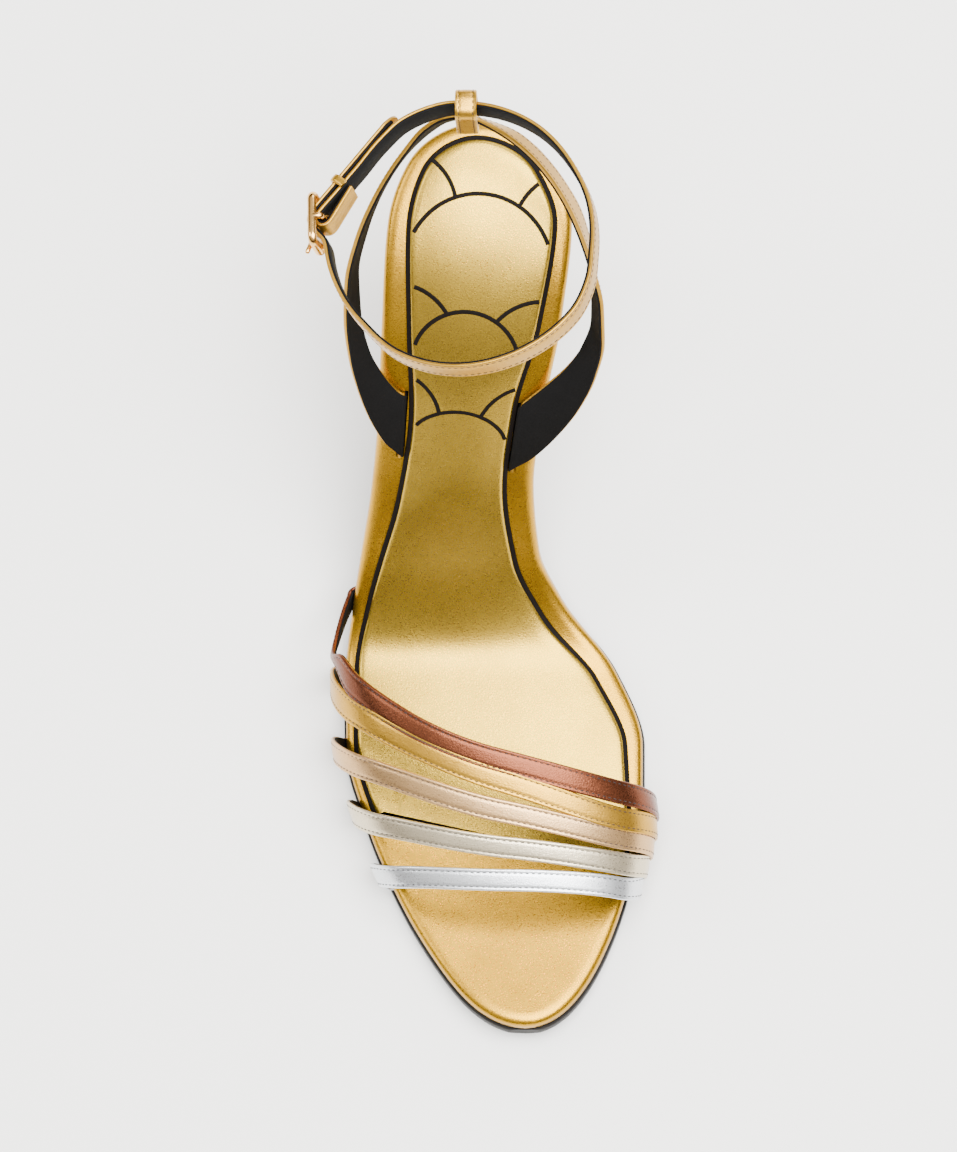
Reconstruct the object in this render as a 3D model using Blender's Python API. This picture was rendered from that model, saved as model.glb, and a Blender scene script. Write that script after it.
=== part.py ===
"""A right-foot strappy heeled sandal, drawn the way it is lasted.

+X is the inner side of the foot, -Y the toe and +Z up. The origin is the middle of the forefoot tread.
Sizes are in millimetres; the mesh is written in metres.
"""

import math

import bmesh
import bpy
from mathutils import Vector

MM = 0.001

LENGTH = 257.5              # length of the footbed along its own curve
BALL_WIDTH = 79.5           # footbed across the ball
HEEL_RISE = 92.0            # how much higher the seat's back end is than the tread
INSTEP_HEIGHT = 56.0        # top of the foot over the footbed, at half length
TREAD_AT = 0.29             # share of the length where the tread's middle lies

GAP = 0.3                   # clear space between pieces that touch
FOOTBED_THICK = 4.5
OUTSOLE_THICK = 3.0
OUTSOLE_OVERHANG = 0.6      # the forefoot outsole shows this far past the footbed
INSOCK_THICK = 1.5
INSOCK_FRONT_OUTER = 0.224  # share of the length where the insock starts, at the outer side
INSOCK_FRONT_INNER = 0.170
INSOCK_CORNER = 2.5         # how far its front corners are rounded off, over the next
INSOCK_CORNER_RUN = 3.0
BREAST_AT = 0.80            # share of the length where the outsole ends and the heel starts
HEEL_INSET = 1.2            # the heel's seat lies this far inside the footbed's edge
BREAST_HOLLOW = 2.6         # how far the heel's front face is scooped out

STRAP_WIDTH = 6.2
STRAP_THICK = 1.5
STRAP_STAND_OFF = 0.45      # a strap's clearance from the footbed's edge
SHINGLE_ANGLE = 8.6         # tilt that laps one strap over the next at the inner side
STRAP_BULGE = 6.0           # how far the arch of a strap is squared out at its shoulders
TUCK_DEPTH = 7.0            # how far a strap's end runs in under the footbed
TURN_OUTER = 1.4            # radius of a strap's middle line where it turns under the edge
TURN_INNER = 1.7
POCKET_REACH = 4.3          # how far a pocket runs past the middle of a strap's end
POCKET_DROP = 2.0           # a pocket's cutter starts this far under the footbed
POCKET_OUT = 4.0            # and runs this far past its edge
POCKET_STEP = 8.0           # with a section about this often
TUCK_CLEAR = 0.5            # room at the inner end of a tucked strap

SLOT_CLEAR = 0.35           # clearance of the heel strap in its slots
SLOT_PAST = 2.0             # the slots' cutters run this far past the footbed's faces
SLOT_RISE = 1.3             # the heel strap stands straight up this far out of its slots
ANKLE_RADIUS = 34.0         # ankle strap's middle line, from the ring's centre
ANKLE_WIDTH = 6.5
ANKLE_THICK = 1.4
ANKLE_RISE = 9.0            # degrees that the ring rises towards the front
ANKLE_LEAN = 11.5           # degrees that it rises towards the inner side
ANKLE_CENTRE_Y = 0.3844     # ring centre behind the tread, as a share of the length
ANKLE_ABOVE_SEAT = 67.0     # ring centre over the heel seat's back end
ANKLE_OFFSET = -2.6         # the ring's centre lies this far to the outer side

SEAM_DROP = 2.4             # the heel strap passes this far below the ankle strap at the back
SEAM_BACK = 0.8             # and this far behind it
SEAM_LEAN = 14.0            # degrees that its top leans forward there
HEEL_STRAP_SAG = 3.0        # how far its lower edge hangs below a straight line half way up

WIRE_RADIUS = 0.8           # buckle frame, across its plane
BUCKLE_DEPTH = 1.1          # half its depth, out of its plane
PRONG_RADIUS = 0.6
BUCKLE_WINDOW = 7.7         # inside the buckle, across the strap
BUCKLE_HALF = 6.5           # from the middle of the frame to either end
BUCKLE_STAND = 2.4          # the frame's plane lies this far outside its bar
BAR_AZIMUTH = 169.9         # where the buckle's bar sits round the ring, from the inner side
BUCKLE_TURN = 13.6          # degrees that the buckle's face is turned on from there
BAR_OUT = 1.037             # and its distance out, in ankle radii
PRONG_PAST = 1.4            # how far the prong's tip runs past the frame's end

CHAPE_END = 153.0           # azimuth where the strap's end, folded round the bar, is cut off
CHAPE_SPACE = 0.4           # between the two layers of the fold
TIP_AZIMUTH = 118.0         # where the strap's free end stops
TIP_OUT = 1.118             # and its distance out, in ankle radii
KEEPER_AT = 9.8             # the keeper's place along the free end, from the bar
KEEPER_WIDTH = 2.2
KEEPER_THICK = 0.8
LOOP_WIDTH = 5.4            # loop at the back of the heel
LOOP_THICK = 1.3
LOOP_OFFSET = -1.8          # its middle lies this far to the outer side

LIFT_HEIGHT = 6.0
HEEL_TIP_BACK = 21.0        # from the seat's back end forward to the middle of the tip
CHAMFER = 0.35

STATIONS = 44               # sections along the footbed
HEEL_STEPS = 30             # sections up each branch of the heel strap
BAND_STEPS = 84             # sections round the ankle
BAR_STEPS = 9               # sections round the buckle's bar
CHAPE_STEPS = 3
TAIL_STEPS = 8
LOOP_SLACK = 4.0            # gaps between the heel loop and the straps in it
SAG_DIRECTION = Vector((0.0, 0.2, -1.0))

# share of the length, slope of the sole in degrees
SLOPE = (
    (0.00, -10.0),
    (0.10, -7.5),
    (0.22, 0.0),
    (0.36, 0.0),
    (0.44, 28.0),
    (0.53, 41.0),
    (0.70, 42.0),
    (0.82, 29.0),
    (0.90, 17.0),
    (1.00, 10.0),
)

# share of the length, outer edge, inner edge, both from the heel's middle line in ball widths
OUTLINE = (
    (0.000, 0.132, 0.132),
    (0.020, -0.030, 0.272),
    (0.070, -0.166, 0.379),
    (0.140, -0.297, 0.462),
    (0.220, -0.405, 0.519),
    (0.300, -0.473, 0.519),
    (0.380, -0.477, 0.426),
    (0.460, -0.449, 0.250),
    (0.520, -0.419, 0.176),
    (0.600, -0.379, 0.160),
    (0.700, -0.346, 0.197),
    (0.800, -0.327, 0.257),
    (0.900, -0.304, 0.294),
    (0.960, -0.238, 0.226),
    (1.000, -0.013, -0.013),
)

# share of the length, how far the insock's edge lies inside the footbed's, outer side and inner side
INSOCK_EDGE = (
    (0.16, 2.0, 1.8),
    (0.28, 2.0, 3.7),
    (0.40, 2.5, 5.5),
    (0.50, 4.2, 5.8),
    (0.60, 6.8, 7.0),
    (0.70, 8.0, 7.2),
    (0.80, 6.6, 5.1),
    (0.90, 5.0, 3.7),
    (1.00, 3.2, 3.2),
)

# share of the length, outsole thickness, how far it lies inside the footbed's edge
OUTSOLE = (
    (0.00, 1.00, -1.0),
    (0.36, 1.00, -1.0),
    (0.46, 0.72, 1.6),
    (0.60, 0.66, 2.4),
    (0.85, 0.66, 2.4),
)

# share of the length, height of the foot over the footbed in instep heights
FOOT_TOP = (
    (0.04, 0.27),
    (0.12, 0.39),
    (0.20, 0.54),
    (0.30, 0.69),
    (0.40, 0.82),
    (0.50, 1.00),
)

# strap, then its station in lengths: outer tuck, outer edge, 45, 90 and 135 degrees over the foot,
# inner edge, inner tuck
FOREFOOT_STRAPS = (
    ("bronze", 0.478, 0.455, 0.337, 0.259, 0.231, 0.227, 0.227),
    ("gold", 0.380, 0.373, 0.310, 0.239, 0.205, 0.208, 0.208),
    ("champagne", 0.299, 0.296, 0.257, 0.208, 0.185, 0.188, 0.188),
    ("platinum", 0.226, 0.229, 0.200, 0.169, 0.158, 0.169, 0.169),
    ("silver", 0.158, 0.161, 0.144, 0.133, 0.132, 0.150, 0.151),
)
STRAP_ANGLES = (-30.0, 0.0, 45.0, 90.0, 135.0, 180.0, 210.0)

# side, slot's front and back station, slot's distance from the footbed's edge
SLOTS = {
    "outer": (-1, 0.650, 0.729, 6.6),
    "inner": (1, 0.631, 0.7145, 6.2),
}

# share of the way up the upper edge, its distance out from the ring's centre, then the same for
# the lower edge; distances are in ankle radii and the first row gives way to the slot
HEEL_STRAP = {
    "outer": (
        (0.000, 0.576, 0.000, 0.539),
        (0.050, 0.692, 0.020, 0.579),
        (0.120, 0.796, 0.050, 0.635),
        (0.210, 0.876, 0.100, 0.709),
        (0.300, 0.924, 0.180, 0.790),
        (0.400, 0.942, 0.300, 0.840),
        (0.520, 0.919, 0.450, 0.848),
        (0.650, 0.823, 0.610, 0.762),
        (0.780, 0.657, 0.755, 0.624),
        (0.890, 0.459, 0.880, 0.433),
        (0.960, 0.298, 0.955, 0.249),
        (0.990, 0.155, 0.988, 0.125),
        (1.000, 0.000, 1.000, 0.000),
    ),
    "inner": (
        (0.000, 0.267, 0.000, 0.342),
        (0.042, 0.447, 0.030, 0.422),
        (0.105, 0.637, 0.080, 0.559),
        (0.185, 0.814, 0.145, 0.719),
        (0.275, 0.938, 0.225, 0.847),
        (0.370, 0.998, 0.320, 0.924),
        (0.470, 0.992, 0.425, 0.930),
        (0.590, 0.912, 0.550, 0.906),
        (0.700, 0.807, 0.670, 0.845),
        (0.800, 0.667, 0.780, 0.717),
        (0.890, 0.472, 0.880, 0.542),
        (0.950, 0.270, 0.945, 0.366),
        (0.985, 0.100, 0.983, 0.130),
        (1.000, 0.000, 1.000, 0.000),
    ),
}

# azimuth round the ankle from the inner side, radius in ankle radii, from buckle back to buckle
ANKLE_PATH = (
    (154.0, 0.985),
    (143.0, 0.966),
    (128.0, 0.998),
    (116.0, 1.040),
    (100.0, 1.050),
    (84.0, 1.022),
    (60.0, 0.985),
    (30.0, 0.952),
    (10.0, 0.970),
    (-10.0, 0.998),
    (-24.0, 1.050),
    (-38.0, 1.080),
    (-60.0, 1.064),
    (-90.0, 1.034),
    (-115.0, 0.995),
    (-138.0, 0.949),
    (-155.0, 0.955),
    (-177.0, 0.983),
)

# length back from the strap's tip, half width in strap widths
TIP = (
    (0.0, 0.10),
    (1.2, 0.32),
    (3.6, 0.50),
)

# share of the drop from seat to tip, forward lean, half width, half depth, how round the section is
HEEL_BODY = (
    (0.10, 0.30, 17.5, 17.0, 0.15),
    (0.22, 0.58, 11.6, 11.5, 0.40),
    (0.36, 0.80, 8.0, 8.4, 0.75),
    (0.55, 0.93, 5.9, 6.6, 1.00),
    (0.78, 0.99, 4.7, 5.4, 1.00),
    (1.00, 1.00, 4.2, 5.0, 1.00),
)


def cubic(rows, column, at):
    """Smooth value of a table's column, with no overshoot between its rows."""
    xs = [row[0] for row in rows]
    ys = [row[column] for row in rows]
    flip = -1.0 if xs[-1] < xs[0] else 1.0
    xs = [x * flip for x in xs]
    at = min(max(at * flip, xs[0]), xs[-1])
    steps = [b - a for a, b in zip(xs, xs[1:])]
    rates = [(b - a) / h for a, b, h in zip(ys, ys[1:], steps)]
    slopes = [rates[0]]
    for i in range(1, len(rates)):
        before = rates[i - 1]
        after = rates[i]
        if before * after <= 0.0:
            slopes.append(0.0)
            continue
        near = 2.0 * steps[i] + steps[i - 1]
        far = steps[i] + 2.0 * steps[i - 1]
        slopes.append((near + far) / (near / before + far / after))
    slopes.append(rates[-1])
    i = 0
    while i < len(rates) - 1 and at > xs[i + 1]:
        i += 1
    h = steps[i]
    t = (at - xs[i]) / h
    start = ys[i] * (1.0 + 2.0 * t) * (1.0 - t) ** 2 + slopes[i] * h * t * (1.0 - t) ** 2
    end = ys[i + 1] * t * t * (3.0 - 2.0 * t) + slopes[i + 1] * h * t * t * (t - 1.0)
    return start + end


class SoleCurve:
    """The underside of the footbed seen from the side, as (y, z, slope) at any length along it."""

    COUNT = 500

    def __init__(self):
        low = 0.4
        high = 1.8
        for _ in range(40):
            factor = 0.5 * (low + high)
            self.points = self.trace(factor)
            if self.points[-1][1] - self.height_at_tread() < HEEL_RISE:
                low = factor
            else:
                high = factor

    def trace(self, factor):
        step = LENGTH / self.COUNT
        y = 0.0
        z = 0.0
        angles = []
        for i in range(self.COUNT + 1):
            slope = cubic(SLOPE, 1, i / self.COUNT)
            angles.append(math.radians(slope * factor if slope > 0.0 else slope))
        points = [(y, z, angles[0])]
        for before, after in zip(angles, angles[1:]):
            middle = 0.5 * (before + after)
            y += step * math.cos(middle)
            z += step * math.sin(middle)
            points.append((y, z, after))
        return points

    def height_at_tread(self):
        return self.points[round(TREAD_AT * self.COUNT)][1]

    def at(self, s):
        """(y, z, slope) at the length s, with the tread's middle over the origin."""
        place = min(max(s / LENGTH, 0.0), 1.0) * self.COUNT
        i = min(int(place), self.COUNT - 1)
        t = place - i
        a = self.points[i]
        b = self.points[i + 1]
        origin = self.points[round(TREAD_AT * self.COUNT)]
        y = a[0] + (b[0] - a[0]) * t - origin[0]
        z = a[1] + (b[1] - a[1]) * t - origin[1] + OUTSOLE_THICK + GAP
        return y, z, a[2] + (b[2] - a[2]) * t


CURVE = SoleCurve()


def on_sole(s, x, h):
    """The point x across and h above the footbed's underside, at the length s."""
    y, z, slope = CURVE.at(s)
    return Vector((x, y - h * math.sin(slope), z + h * math.cos(slope)))


def sole_frame(s):
    """Directions along the sole towards the heel and out of its top, at the length s."""
    slope = CURVE.at(s)[2]
    along = Vector((0.0, math.cos(slope), math.sin(slope)))
    out = Vector((0.0, -math.sin(slope), math.cos(slope)))
    return along, out


def end_angle(share):
    return math.acos(1.0 - 2.0 * min(max(share, 0.0), 1.0)) / math.pi


ROUND_OUTLINE = tuple((end_angle(row[0]), row[1], row[2]) for row in OUTLINE)


def edge(s, side):
    """The footbed's edge at the length s: side -1 is the outer side, 1 the inner."""
    return BALL_WIDTH * cubic(ROUND_OUTLINE, 1 if side < 0 else 2, end_angle(s / LENGTH))


def edge_normal(s, side):
    """Unit direction (along, across) out of the footbed's edge."""
    step = 0.4
    low = max(s - step, 0.0)
    high = min(s + step, LENGTH)
    if s < 0.01:
        return Vector((-1.0, 0.0))
    if s > LENGTH - 0.01:
        return Vector((1.0, 0.0))
    run = Vector((high - low, edge(high, side) - edge(low, side)))
    out = Vector((-run.y, run.x)) * side
    return out.normalized()


def stations(first, last, count, round_ends):
    """Lengths from first to last, packed closer at an end that is round."""
    places = []
    for i in range(count + 1):
        t = i / count
        if round_ends == "both":
            eased = 0.5 * (1.0 - math.cos(math.pi * t))
        elif round_ends == "last":
            eased = math.sin(0.5 * math.pi * t)
        else:
            eased = 1.0 - math.cos(0.5 * math.pi * t)
        places.append(first + (last - first) * (0.12 * t + 0.88 * eased))
    return places


def add_object(name, mesh, colour, roughness, metallic=0.0):
    """Links a finished mesh in metres under a node's name, with its own material."""
    data = bpy.data.meshes.new(name)
    bmesh.ops.recalc_face_normals(mesh, faces=mesh.faces[:])
    bmesh.ops.scale(mesh, vec=(MM, MM, MM), verts=mesh.verts[:])
    mesh.to_mesh(data)
    mesh.free()
    made = bpy.data.objects.new(name, data)
    bpy.context.scene.collection.objects.link(made)
    material = bpy.data.materials.new(name)
    material.use_nodes = True
    shader = material.node_tree.nodes["Principled BSDF"]
    shader.inputs["Base Color"].default_value = (*colour, 1.0)
    shader.inputs["Roughness"].default_value = roughness
    shader.inputs["Metallic"].default_value = metallic
    data.materials.append(material)
    data.shade_smooth()
    data.set_sharp_from_angle(angle=math.radians(40.0))
    return made


def add_cutter(name, mesh):
    """Links a guide solid that only cuts or joins."""
    made = add_object(name, mesh, (0.5, 0.5, 0.5), 0.5)
    made.hide_render = True
    made.display_type = "WIRE"
    return made


def combine(target, other, operation):
    """Leaves an exact Boolean on the target."""
    modifier = target.modifiers.new(other.name, "BOOLEAN")
    modifier.operation = operation
    modifier.solver = "EXACT"
    modifier.object = other


def bridge(mesh, before, after):
    """Faces between two closed rings of vertices."""
    count = len(before)
    for i in range(count):
        j = (i + 1) % count
        mesh.faces.new((before[i], before[j], after[j], after[i]))


def slab(outline, levels):
    """A sole layer: rings round its edge at each level, closed by strips from side to side.

    outline gives (outer, inner) pairs of lengths; an end that meets in one length is round.
    levels give, bottom to top, functions of (length, side) for the inset and for the height.
    """
    mesh = bmesh.new()
    rings = []
    for inset, height in levels:
        ring = {}
        for side, column in ((-1, 0), (1, 1)):
            for i, pair in enumerate(outline):
                s = pair[column]
                tip = s < 0.01 or s > LENGTH - 0.01
                if tip and side > 0:
                    ring[side, i] = ring[-1, i]
                    continue
                out = edge_normal(s, side)
                distance = inset(s, side)
                place = on_sole(
                    s - out.x * distance,
                    edge(s, side) - out.y * distance,
                    height(s, side),
                )
                ring[side, i] = mesh.verts.new(place)
        rings.append(ring)
    count = len(outline)
    loops = []
    for ring in rings:
        loop = [ring[-1, i] for i in range(count)]
        loop += [ring[1, i] for i in reversed(range(count)) if ring[1, i] not in loop]
        loops.append(loop)
    for before, after in zip(loops, loops[1:]):
        bridge(mesh, before, after)
    for ring in (rings[0], rings[-1]):
        for i in range(count - 1):
            corners = [ring[-1, i], ring[-1, i + 1], ring[1, i + 1], ring[1, i]]
            face = []
            for corner in corners:
                if corner not in face:
                    face.append(corner)
            mesh.faces.new(face)
    bmesh.ops.triangulate(mesh, faces=mesh.faces[:])
    return mesh


def flat(value):
    """A level's inset or height that is the same all round."""
    return lambda s, side: value


def ribbon(frames, thickness, closed=False):
    """A flat strap with broken edges, from (middle, half width vector, face normal) frames."""
    mesh = bmesh.new()
    rings = []
    for middle, half, normal in frames:
        reach = half.length
        across = half.normalized()
        broken = min(CHAMFER, 0.4 * reach)
        deep = 0.5 * thickness
        corners = (
            (reach - broken, deep),
            (reach, deep - CHAMFER),
            (reach, CHAMFER - deep),
            (reach - broken, -deep),
            (broken - reach, -deep),
            (-reach, CHAMFER - deep),
            (-reach, deep - CHAMFER),
            (broken - reach, deep),
        )
        rings.append([mesh.verts.new(middle + across * a + normal * b) for a, b in corners])
    close_rings(mesh, rings, closed)
    return mesh


def close_rings(mesh, rings, closed):
    for before, after in zip(rings, rings[1:]):
        bridge(mesh, before, after)
    if closed:
        bridge(mesh, rings[-1], rings[0])
    else:
        mesh.faces.new(rings[0])
        mesh.faces.new(rings[-1])
    bmesh.ops.triangulate(mesh, faces=mesh.faces[:])


def tube(path, radius, across, sides=8, closed=False, depth=None):
    """A round wire along a flat path; across is the path's own plane normal, depth the radius there."""
    depth = radius if depth is None else depth
    mesh = bmesh.new()
    rings = []
    count = len(path)
    for i, point in enumerate(path):
        before = path[i - 1] if i or closed else path[0]
        after = path[(i + 1) % count] if i < count - 1 or closed else path[-1]
        along = (after - before).normalized()
        outward = along.cross(across).normalized()
        ring = []
        for k in range(sides):
            angle = 2.0 * math.pi * (k + 0.5) / sides
            offset = outward * radius * math.cos(angle) + across * depth * math.sin(angle)
            ring.append(mesh.verts.new(point + offset))
        rings.append(ring)
    close_rings(mesh, rings, closed)
    return mesh


def rounded_loop(centre, axis_a, axis_b, half_a, half_b, corner, steps=4):
    """Points round a rectangle with round corners."""
    points = []
    for sign_a, sign_b, start in ((1, 1, 0), (-1, 1, 90), (-1, -1, 180), (1, -1, 270)):
        middle = centre + axis_a * (half_a - corner) * sign_a + axis_b * (half_b - corner) * sign_b
        for k in range(steps + 1):
            angle = math.radians(start + 90.0 * k / steps)
            points.append(middle + (axis_a * math.cos(angle) + axis_b * math.sin(angle)) * corner)
    return points


def make_footbed():
    pairs = [(s, s) for s in stations(0.0, LENGTH, STATIONS, "both")]
    thick = FOOTBED_THICK
    levels = (
        (flat(0.9), flat(0.0)),
        (flat(0.2), flat(0.45)),
        (flat(0.0), flat(1.2)),
        (flat(0.0), flat(thick * 0.58)),
        (flat(0.35), flat(thick * 0.80)),
        (flat(1.1), flat(thick * 0.95)),
        (flat(2.2), flat(thick)),
    )
    footbed = add_object("footbed", slab(pairs, levels), (0.55, 0.40, 0.16), 0.35, 0.6)
    for row in FOREFOOT_STRAPS:
        pocket = pocket_cutter(-1, min(row[1], row[2]), max(row[1], row[2]))
        combine(footbed, add_cutter(f"cut_{row[0]}", pocket), "DIFFERENCE")
    pocket = pocket_cutter(1, FOREFOOT_STRAPS[-1][6], FOREFOOT_STRAPS[0][6])
    combine(footbed, add_cutter("cut_inner_ends", pocket), "DIFFERENCE")
    for end in SLOTS:
        combine(footbed, add_cutter(f"cut_slot_{end}", slot_cutter(end)), "DIFFERENCE")
    return footbed


def pocket_cutter(side, first, last):
    """The recess under the footbed's edge for the strap ends between two stations in lengths."""
    low = -POCKET_DROP
    high = 2.0 * base_height(side) + GAP
    front = first * LENGTH - POCKET_REACH
    rear = last * LENGTH + POCKET_REACH
    steps = 2 + round((rear - front) / POCKET_STEP)
    frames = []
    for k in range(steps + 1):
        s = front + (rear - front) * k / steps
        inside = on_sole(s, edge(s, side) - side * (TUCK_DEPTH + TUCK_CLEAR), 0.5 * (low + high))
        outside = on_sole(s, edge(s, side) + side * POCKET_OUT, 0.5 * (low + high))
        frames.append(((inside + outside) * 0.5, (outside - inside) * 0.5, sole_frame(s)[1]))
    return ribbon(frames, high - low)


def slot_frames(end, extra, low, high):
    """The heel strap's slot through the footbed, as frames from low to high above its underside."""
    side, front, back, inset = SLOTS[end]
    front_s = front * LENGTH - extra
    back_s = back * LENGTH + extra
    frames = []
    for h in (low, high):
        a = on_sole(front_s, edge(front_s, side) - side * inset, h)
        b = on_sole(back_s, edge(back_s, side) - side * inset, h)
        half = (a - b) * 0.5
        rise = sole_frame(0.5 * (front_s + back_s))[1]
        frames.append(((a + b) * 0.5, half, half.cross(rise).normalized()))
    return frames


def slot_cutter(end):
    frames = slot_frames(end, SLOT_CLEAR, -SLOT_PAST, FOOTBED_THICK + SLOT_PAST)
    return ribbon(frames, STRAP_THICK + 2.0 * SLOT_CLEAR)


def insock_inset(s, side):
    return cubic(INSOCK_EDGE, 1 if side < 0 else 2, s / LENGTH)


def make_insock():
    outer = stations(INSOCK_FRONT_OUTER * LENGTH, LENGTH, STATIONS - 8, "last")
    inner = stations(INSOCK_FRONT_INNER * LENGTH, LENGTH, STATIONS - 8, "last")
    pairs = list(zip(outer, inner))
    base = FOOTBED_THICK + GAP

    def front_corner(s, side):
        first = outer[0] if side < 0 else inner[0]
        return INSOCK_CORNER * max(0.0, 1.0 - (s - first) / INSOCK_CORNER_RUN) ** 2

    def level(extra):
        return lambda s, side: insock_inset(s, side) + front_corner(s, side) + extra

    levels = (
        (level(0.0), flat(base)),
        (level(0.0), flat(base + 0.45 * INSOCK_THICK)),
        (level(0.45), flat(base + 0.80 * INSOCK_THICK)),
        (level(1.5), flat(base + INSOCK_THICK)),
    )
    return add_object("insock", slab(pairs, levels), (0.68, 0.54, 0.30), 0.45, 0.3)


def make_outsole():
    places = stations(0.0, BREAST_AT * LENGTH, STATIONS - 10, "first")
    pairs = [(s, s) for s in places]

    def drop(share):
        return lambda s, side: -GAP - share * OUTSOLE_THICK * cubic(OUTSOLE, 1, s / LENGTH)

    def rim(extra):
        def inset(s, side):
            value = cubic(OUTSOLE, 2, s / LENGTH)
            return extra + (value * OUTSOLE_OVERHANG if value < 0.0 else value)
        return inset

    levels = (
        (rim(1.0), drop(1.0)),
        (rim(0.15), drop(0.75)),
        (rim(0.0), drop(0.45)),
        (rim(0.0), drop(0.0)),
    )
    return add_object("outsole", slab(pairs, levels), (0.05, 0.045, 0.04), 0.6)


def make_heel():
    first = BREAST_AT * LENGTH + GAP
    places = stations(first, LENGTH, 18, "last")
    seat = []
    for side in (-1, 1):
        run = places if side < 0 else reversed(places[:-1])
        for s in run:
            out = edge_normal(s, side)
            seat.append((s - out.x * HEEL_INSET, edge(s, side) - out.y * HEEL_INSET))
    breast = seat[-1]
    far = seat[0]
    for k in range(1, 6):
        t = k / 6.0
        hollow = BREAST_HOLLOW * math.sin(math.pi * t)
        seat.append((first + hollow, breast[1] + (far[1] - breast[1]) * t))
    top = [on_sole(s, x, -GAP) for s, x in seat]
    seat_back = on_sole(LENGTH, edge(LENGTH, -1), 0.0)
    tip = Vector((edge(LENGTH, -1), seat_back.y - HEEL_TIP_BACK, LIFT_HEIGHT))
    middle = sum(top, Vector()) / len(top)
    mesh = bmesh.new()
    rings = [[mesh.verts.new(point) for point in top]]
    drop = middle.z - tip.z
    half_x = max(abs(point.x - middle.x) for point in top)
    half_y = max(abs(point.y - middle.y) for point in top)
    for share, lean, wide, deep, roundness in HEEL_BODY:
        ring = []
        centre = middle.lerp(tip, lean)
        for point in top:
            out = point - middle
            angle = math.atan2(out.y / half_y, out.x / half_x)
            oval = Vector((wide * math.cos(angle), deep * math.sin(angle), 0.0))
            kept = Vector((out.x * wide / half_x, out.y * deep / half_y, 0.0))
            z = middle.z - drop * share + out.z * (1.0 - share) ** 3 * (1.0 - roundness)
            flat_place = centre + kept.lerp(oval, roundness)
            ring.append(mesh.verts.new((flat_place.x, flat_place.y, z)))
        rings.append(ring)
    for before, after in zip(rings, rings[1:]):
        bridge(mesh, before, after)
    count = len(places)
    upper = rings[0]
    outer = upper[:count]
    inner = [upper[count - 1]] + upper[count:2 * count - 1]
    inner = list(reversed(inner))
    mesh.faces.new([outer[0], outer[1], inner[1], inner[0], *upper[2 * count - 1:]])
    for i in range(1, count - 1):
        corners = [outer[i], outer[i + 1], inner[i + 1], inner[i]]
        face = []
        for corner in corners:
            if corner not in face:
                face.append(corner)
        mesh.faces.new(face)
    mesh.faces.new(rings[-1])
    bmesh.ops.triangulate(mesh, faces=mesh.faces[:])
    return add_object("heel", mesh, (0.55, 0.40, 0.16), 0.35, 0.6), tip


def make_top_lift(tip):
    mesh = bmesh.new()
    rings = []
    wide = HEEL_BODY[-1][2]
    deep = HEEL_BODY[-1][3]
    for z, grow in ((0.0, -0.3), (0.4, 0.0), (LIFT_HEIGHT - GAP, 0.0)):
        ring = []
        for k in range(32):
            angle = 2.0 * math.pi * k / 32
            x = tip.x + (wide + grow) * math.cos(angle)
            y = tip.y + (deep + grow) * math.sin(angle)
            ring.append(mesh.verts.new((x, y, z)))
        rings.append(ring)
    close_rings(mesh, rings, False)
    return add_object("top_lift", mesh, (0.03, 0.03, 0.03), 0.6)


def foot_top(s):
    return INSTEP_HEIGHT * cubic(FOOT_TOP, 1, s / LENGTH)


def strap_station(name, angle):
    row = next(row for row in FOREFOOT_STRAPS if row[0] == name)
    rows = tuple(zip(STRAP_ANGLES, row[1:]))
    return LENGTH * cubic(rows, 1, angle)


def shingle(angle):
    """Tilt of a strap about its own run, growing towards the inner side."""
    t = min(max((angle - 100.0) / 60.0, 0.0), 1.0)
    return math.radians(SHINGLE_ANGLE) * t * t * (3.0 - 2.0 * t)


def shingle_lift(side):
    """How far the tilt raises a strap's edge; only the inner ends lap."""
    return 0.5 * STRAP_WIDTH * math.sin(math.radians(SHINGLE_ANGLE)) if side > 0 else 0.0


def base_height(side):
    return 0.5 * STRAP_THICK + shingle_lift(side)


def turn_radius(side):
    return TURN_OUTER if side < 0 else TURN_INNER


def edge_reach(side):
    """From the footbed's edge out to a strap's middle line."""
    return STRAP_STAND_OFF + 0.5 * STRAP_THICK + shingle_lift(side)


def turn_point(s, side, degrees):
    """A point on the turn round the footbed's edge: 0 lies outside the edge, 90 under it."""
    radius = turn_radius(side)
    middle_x = edge(s, side) + side * (edge_reach(side) - radius)
    middle_h = base_height(side) + radius
    angle = math.radians(degrees)
    x = middle_x + side * radius * math.cos(angle)
    return x, middle_h - radius * math.sin(angle)


def arch_point(s, degrees):
    """A point on the foot's section: 0 is the outer edge, 180 the inner."""
    angle = math.radians(degrees)
    low = edge(s, -1) - edge_reach(-1)
    high = edge(s, 1) + edge_reach(1)
    middle = 0.5 * (low + high)
    half = 0.5 * (high - low)
    x = middle - half * math.cos(angle) - STRAP_BULGE * math.sin(2.0 * angle)
    share = 0.5 - 0.5 * math.cos(angle)
    outer_base = base_height(-1) + turn_radius(-1)
    inner_base = base_height(1) + turn_radius(1)
    base = (1.0 - share) * outer_base + share * inner_base
    return x, base + foot_top(s) * math.sin(angle)


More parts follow.
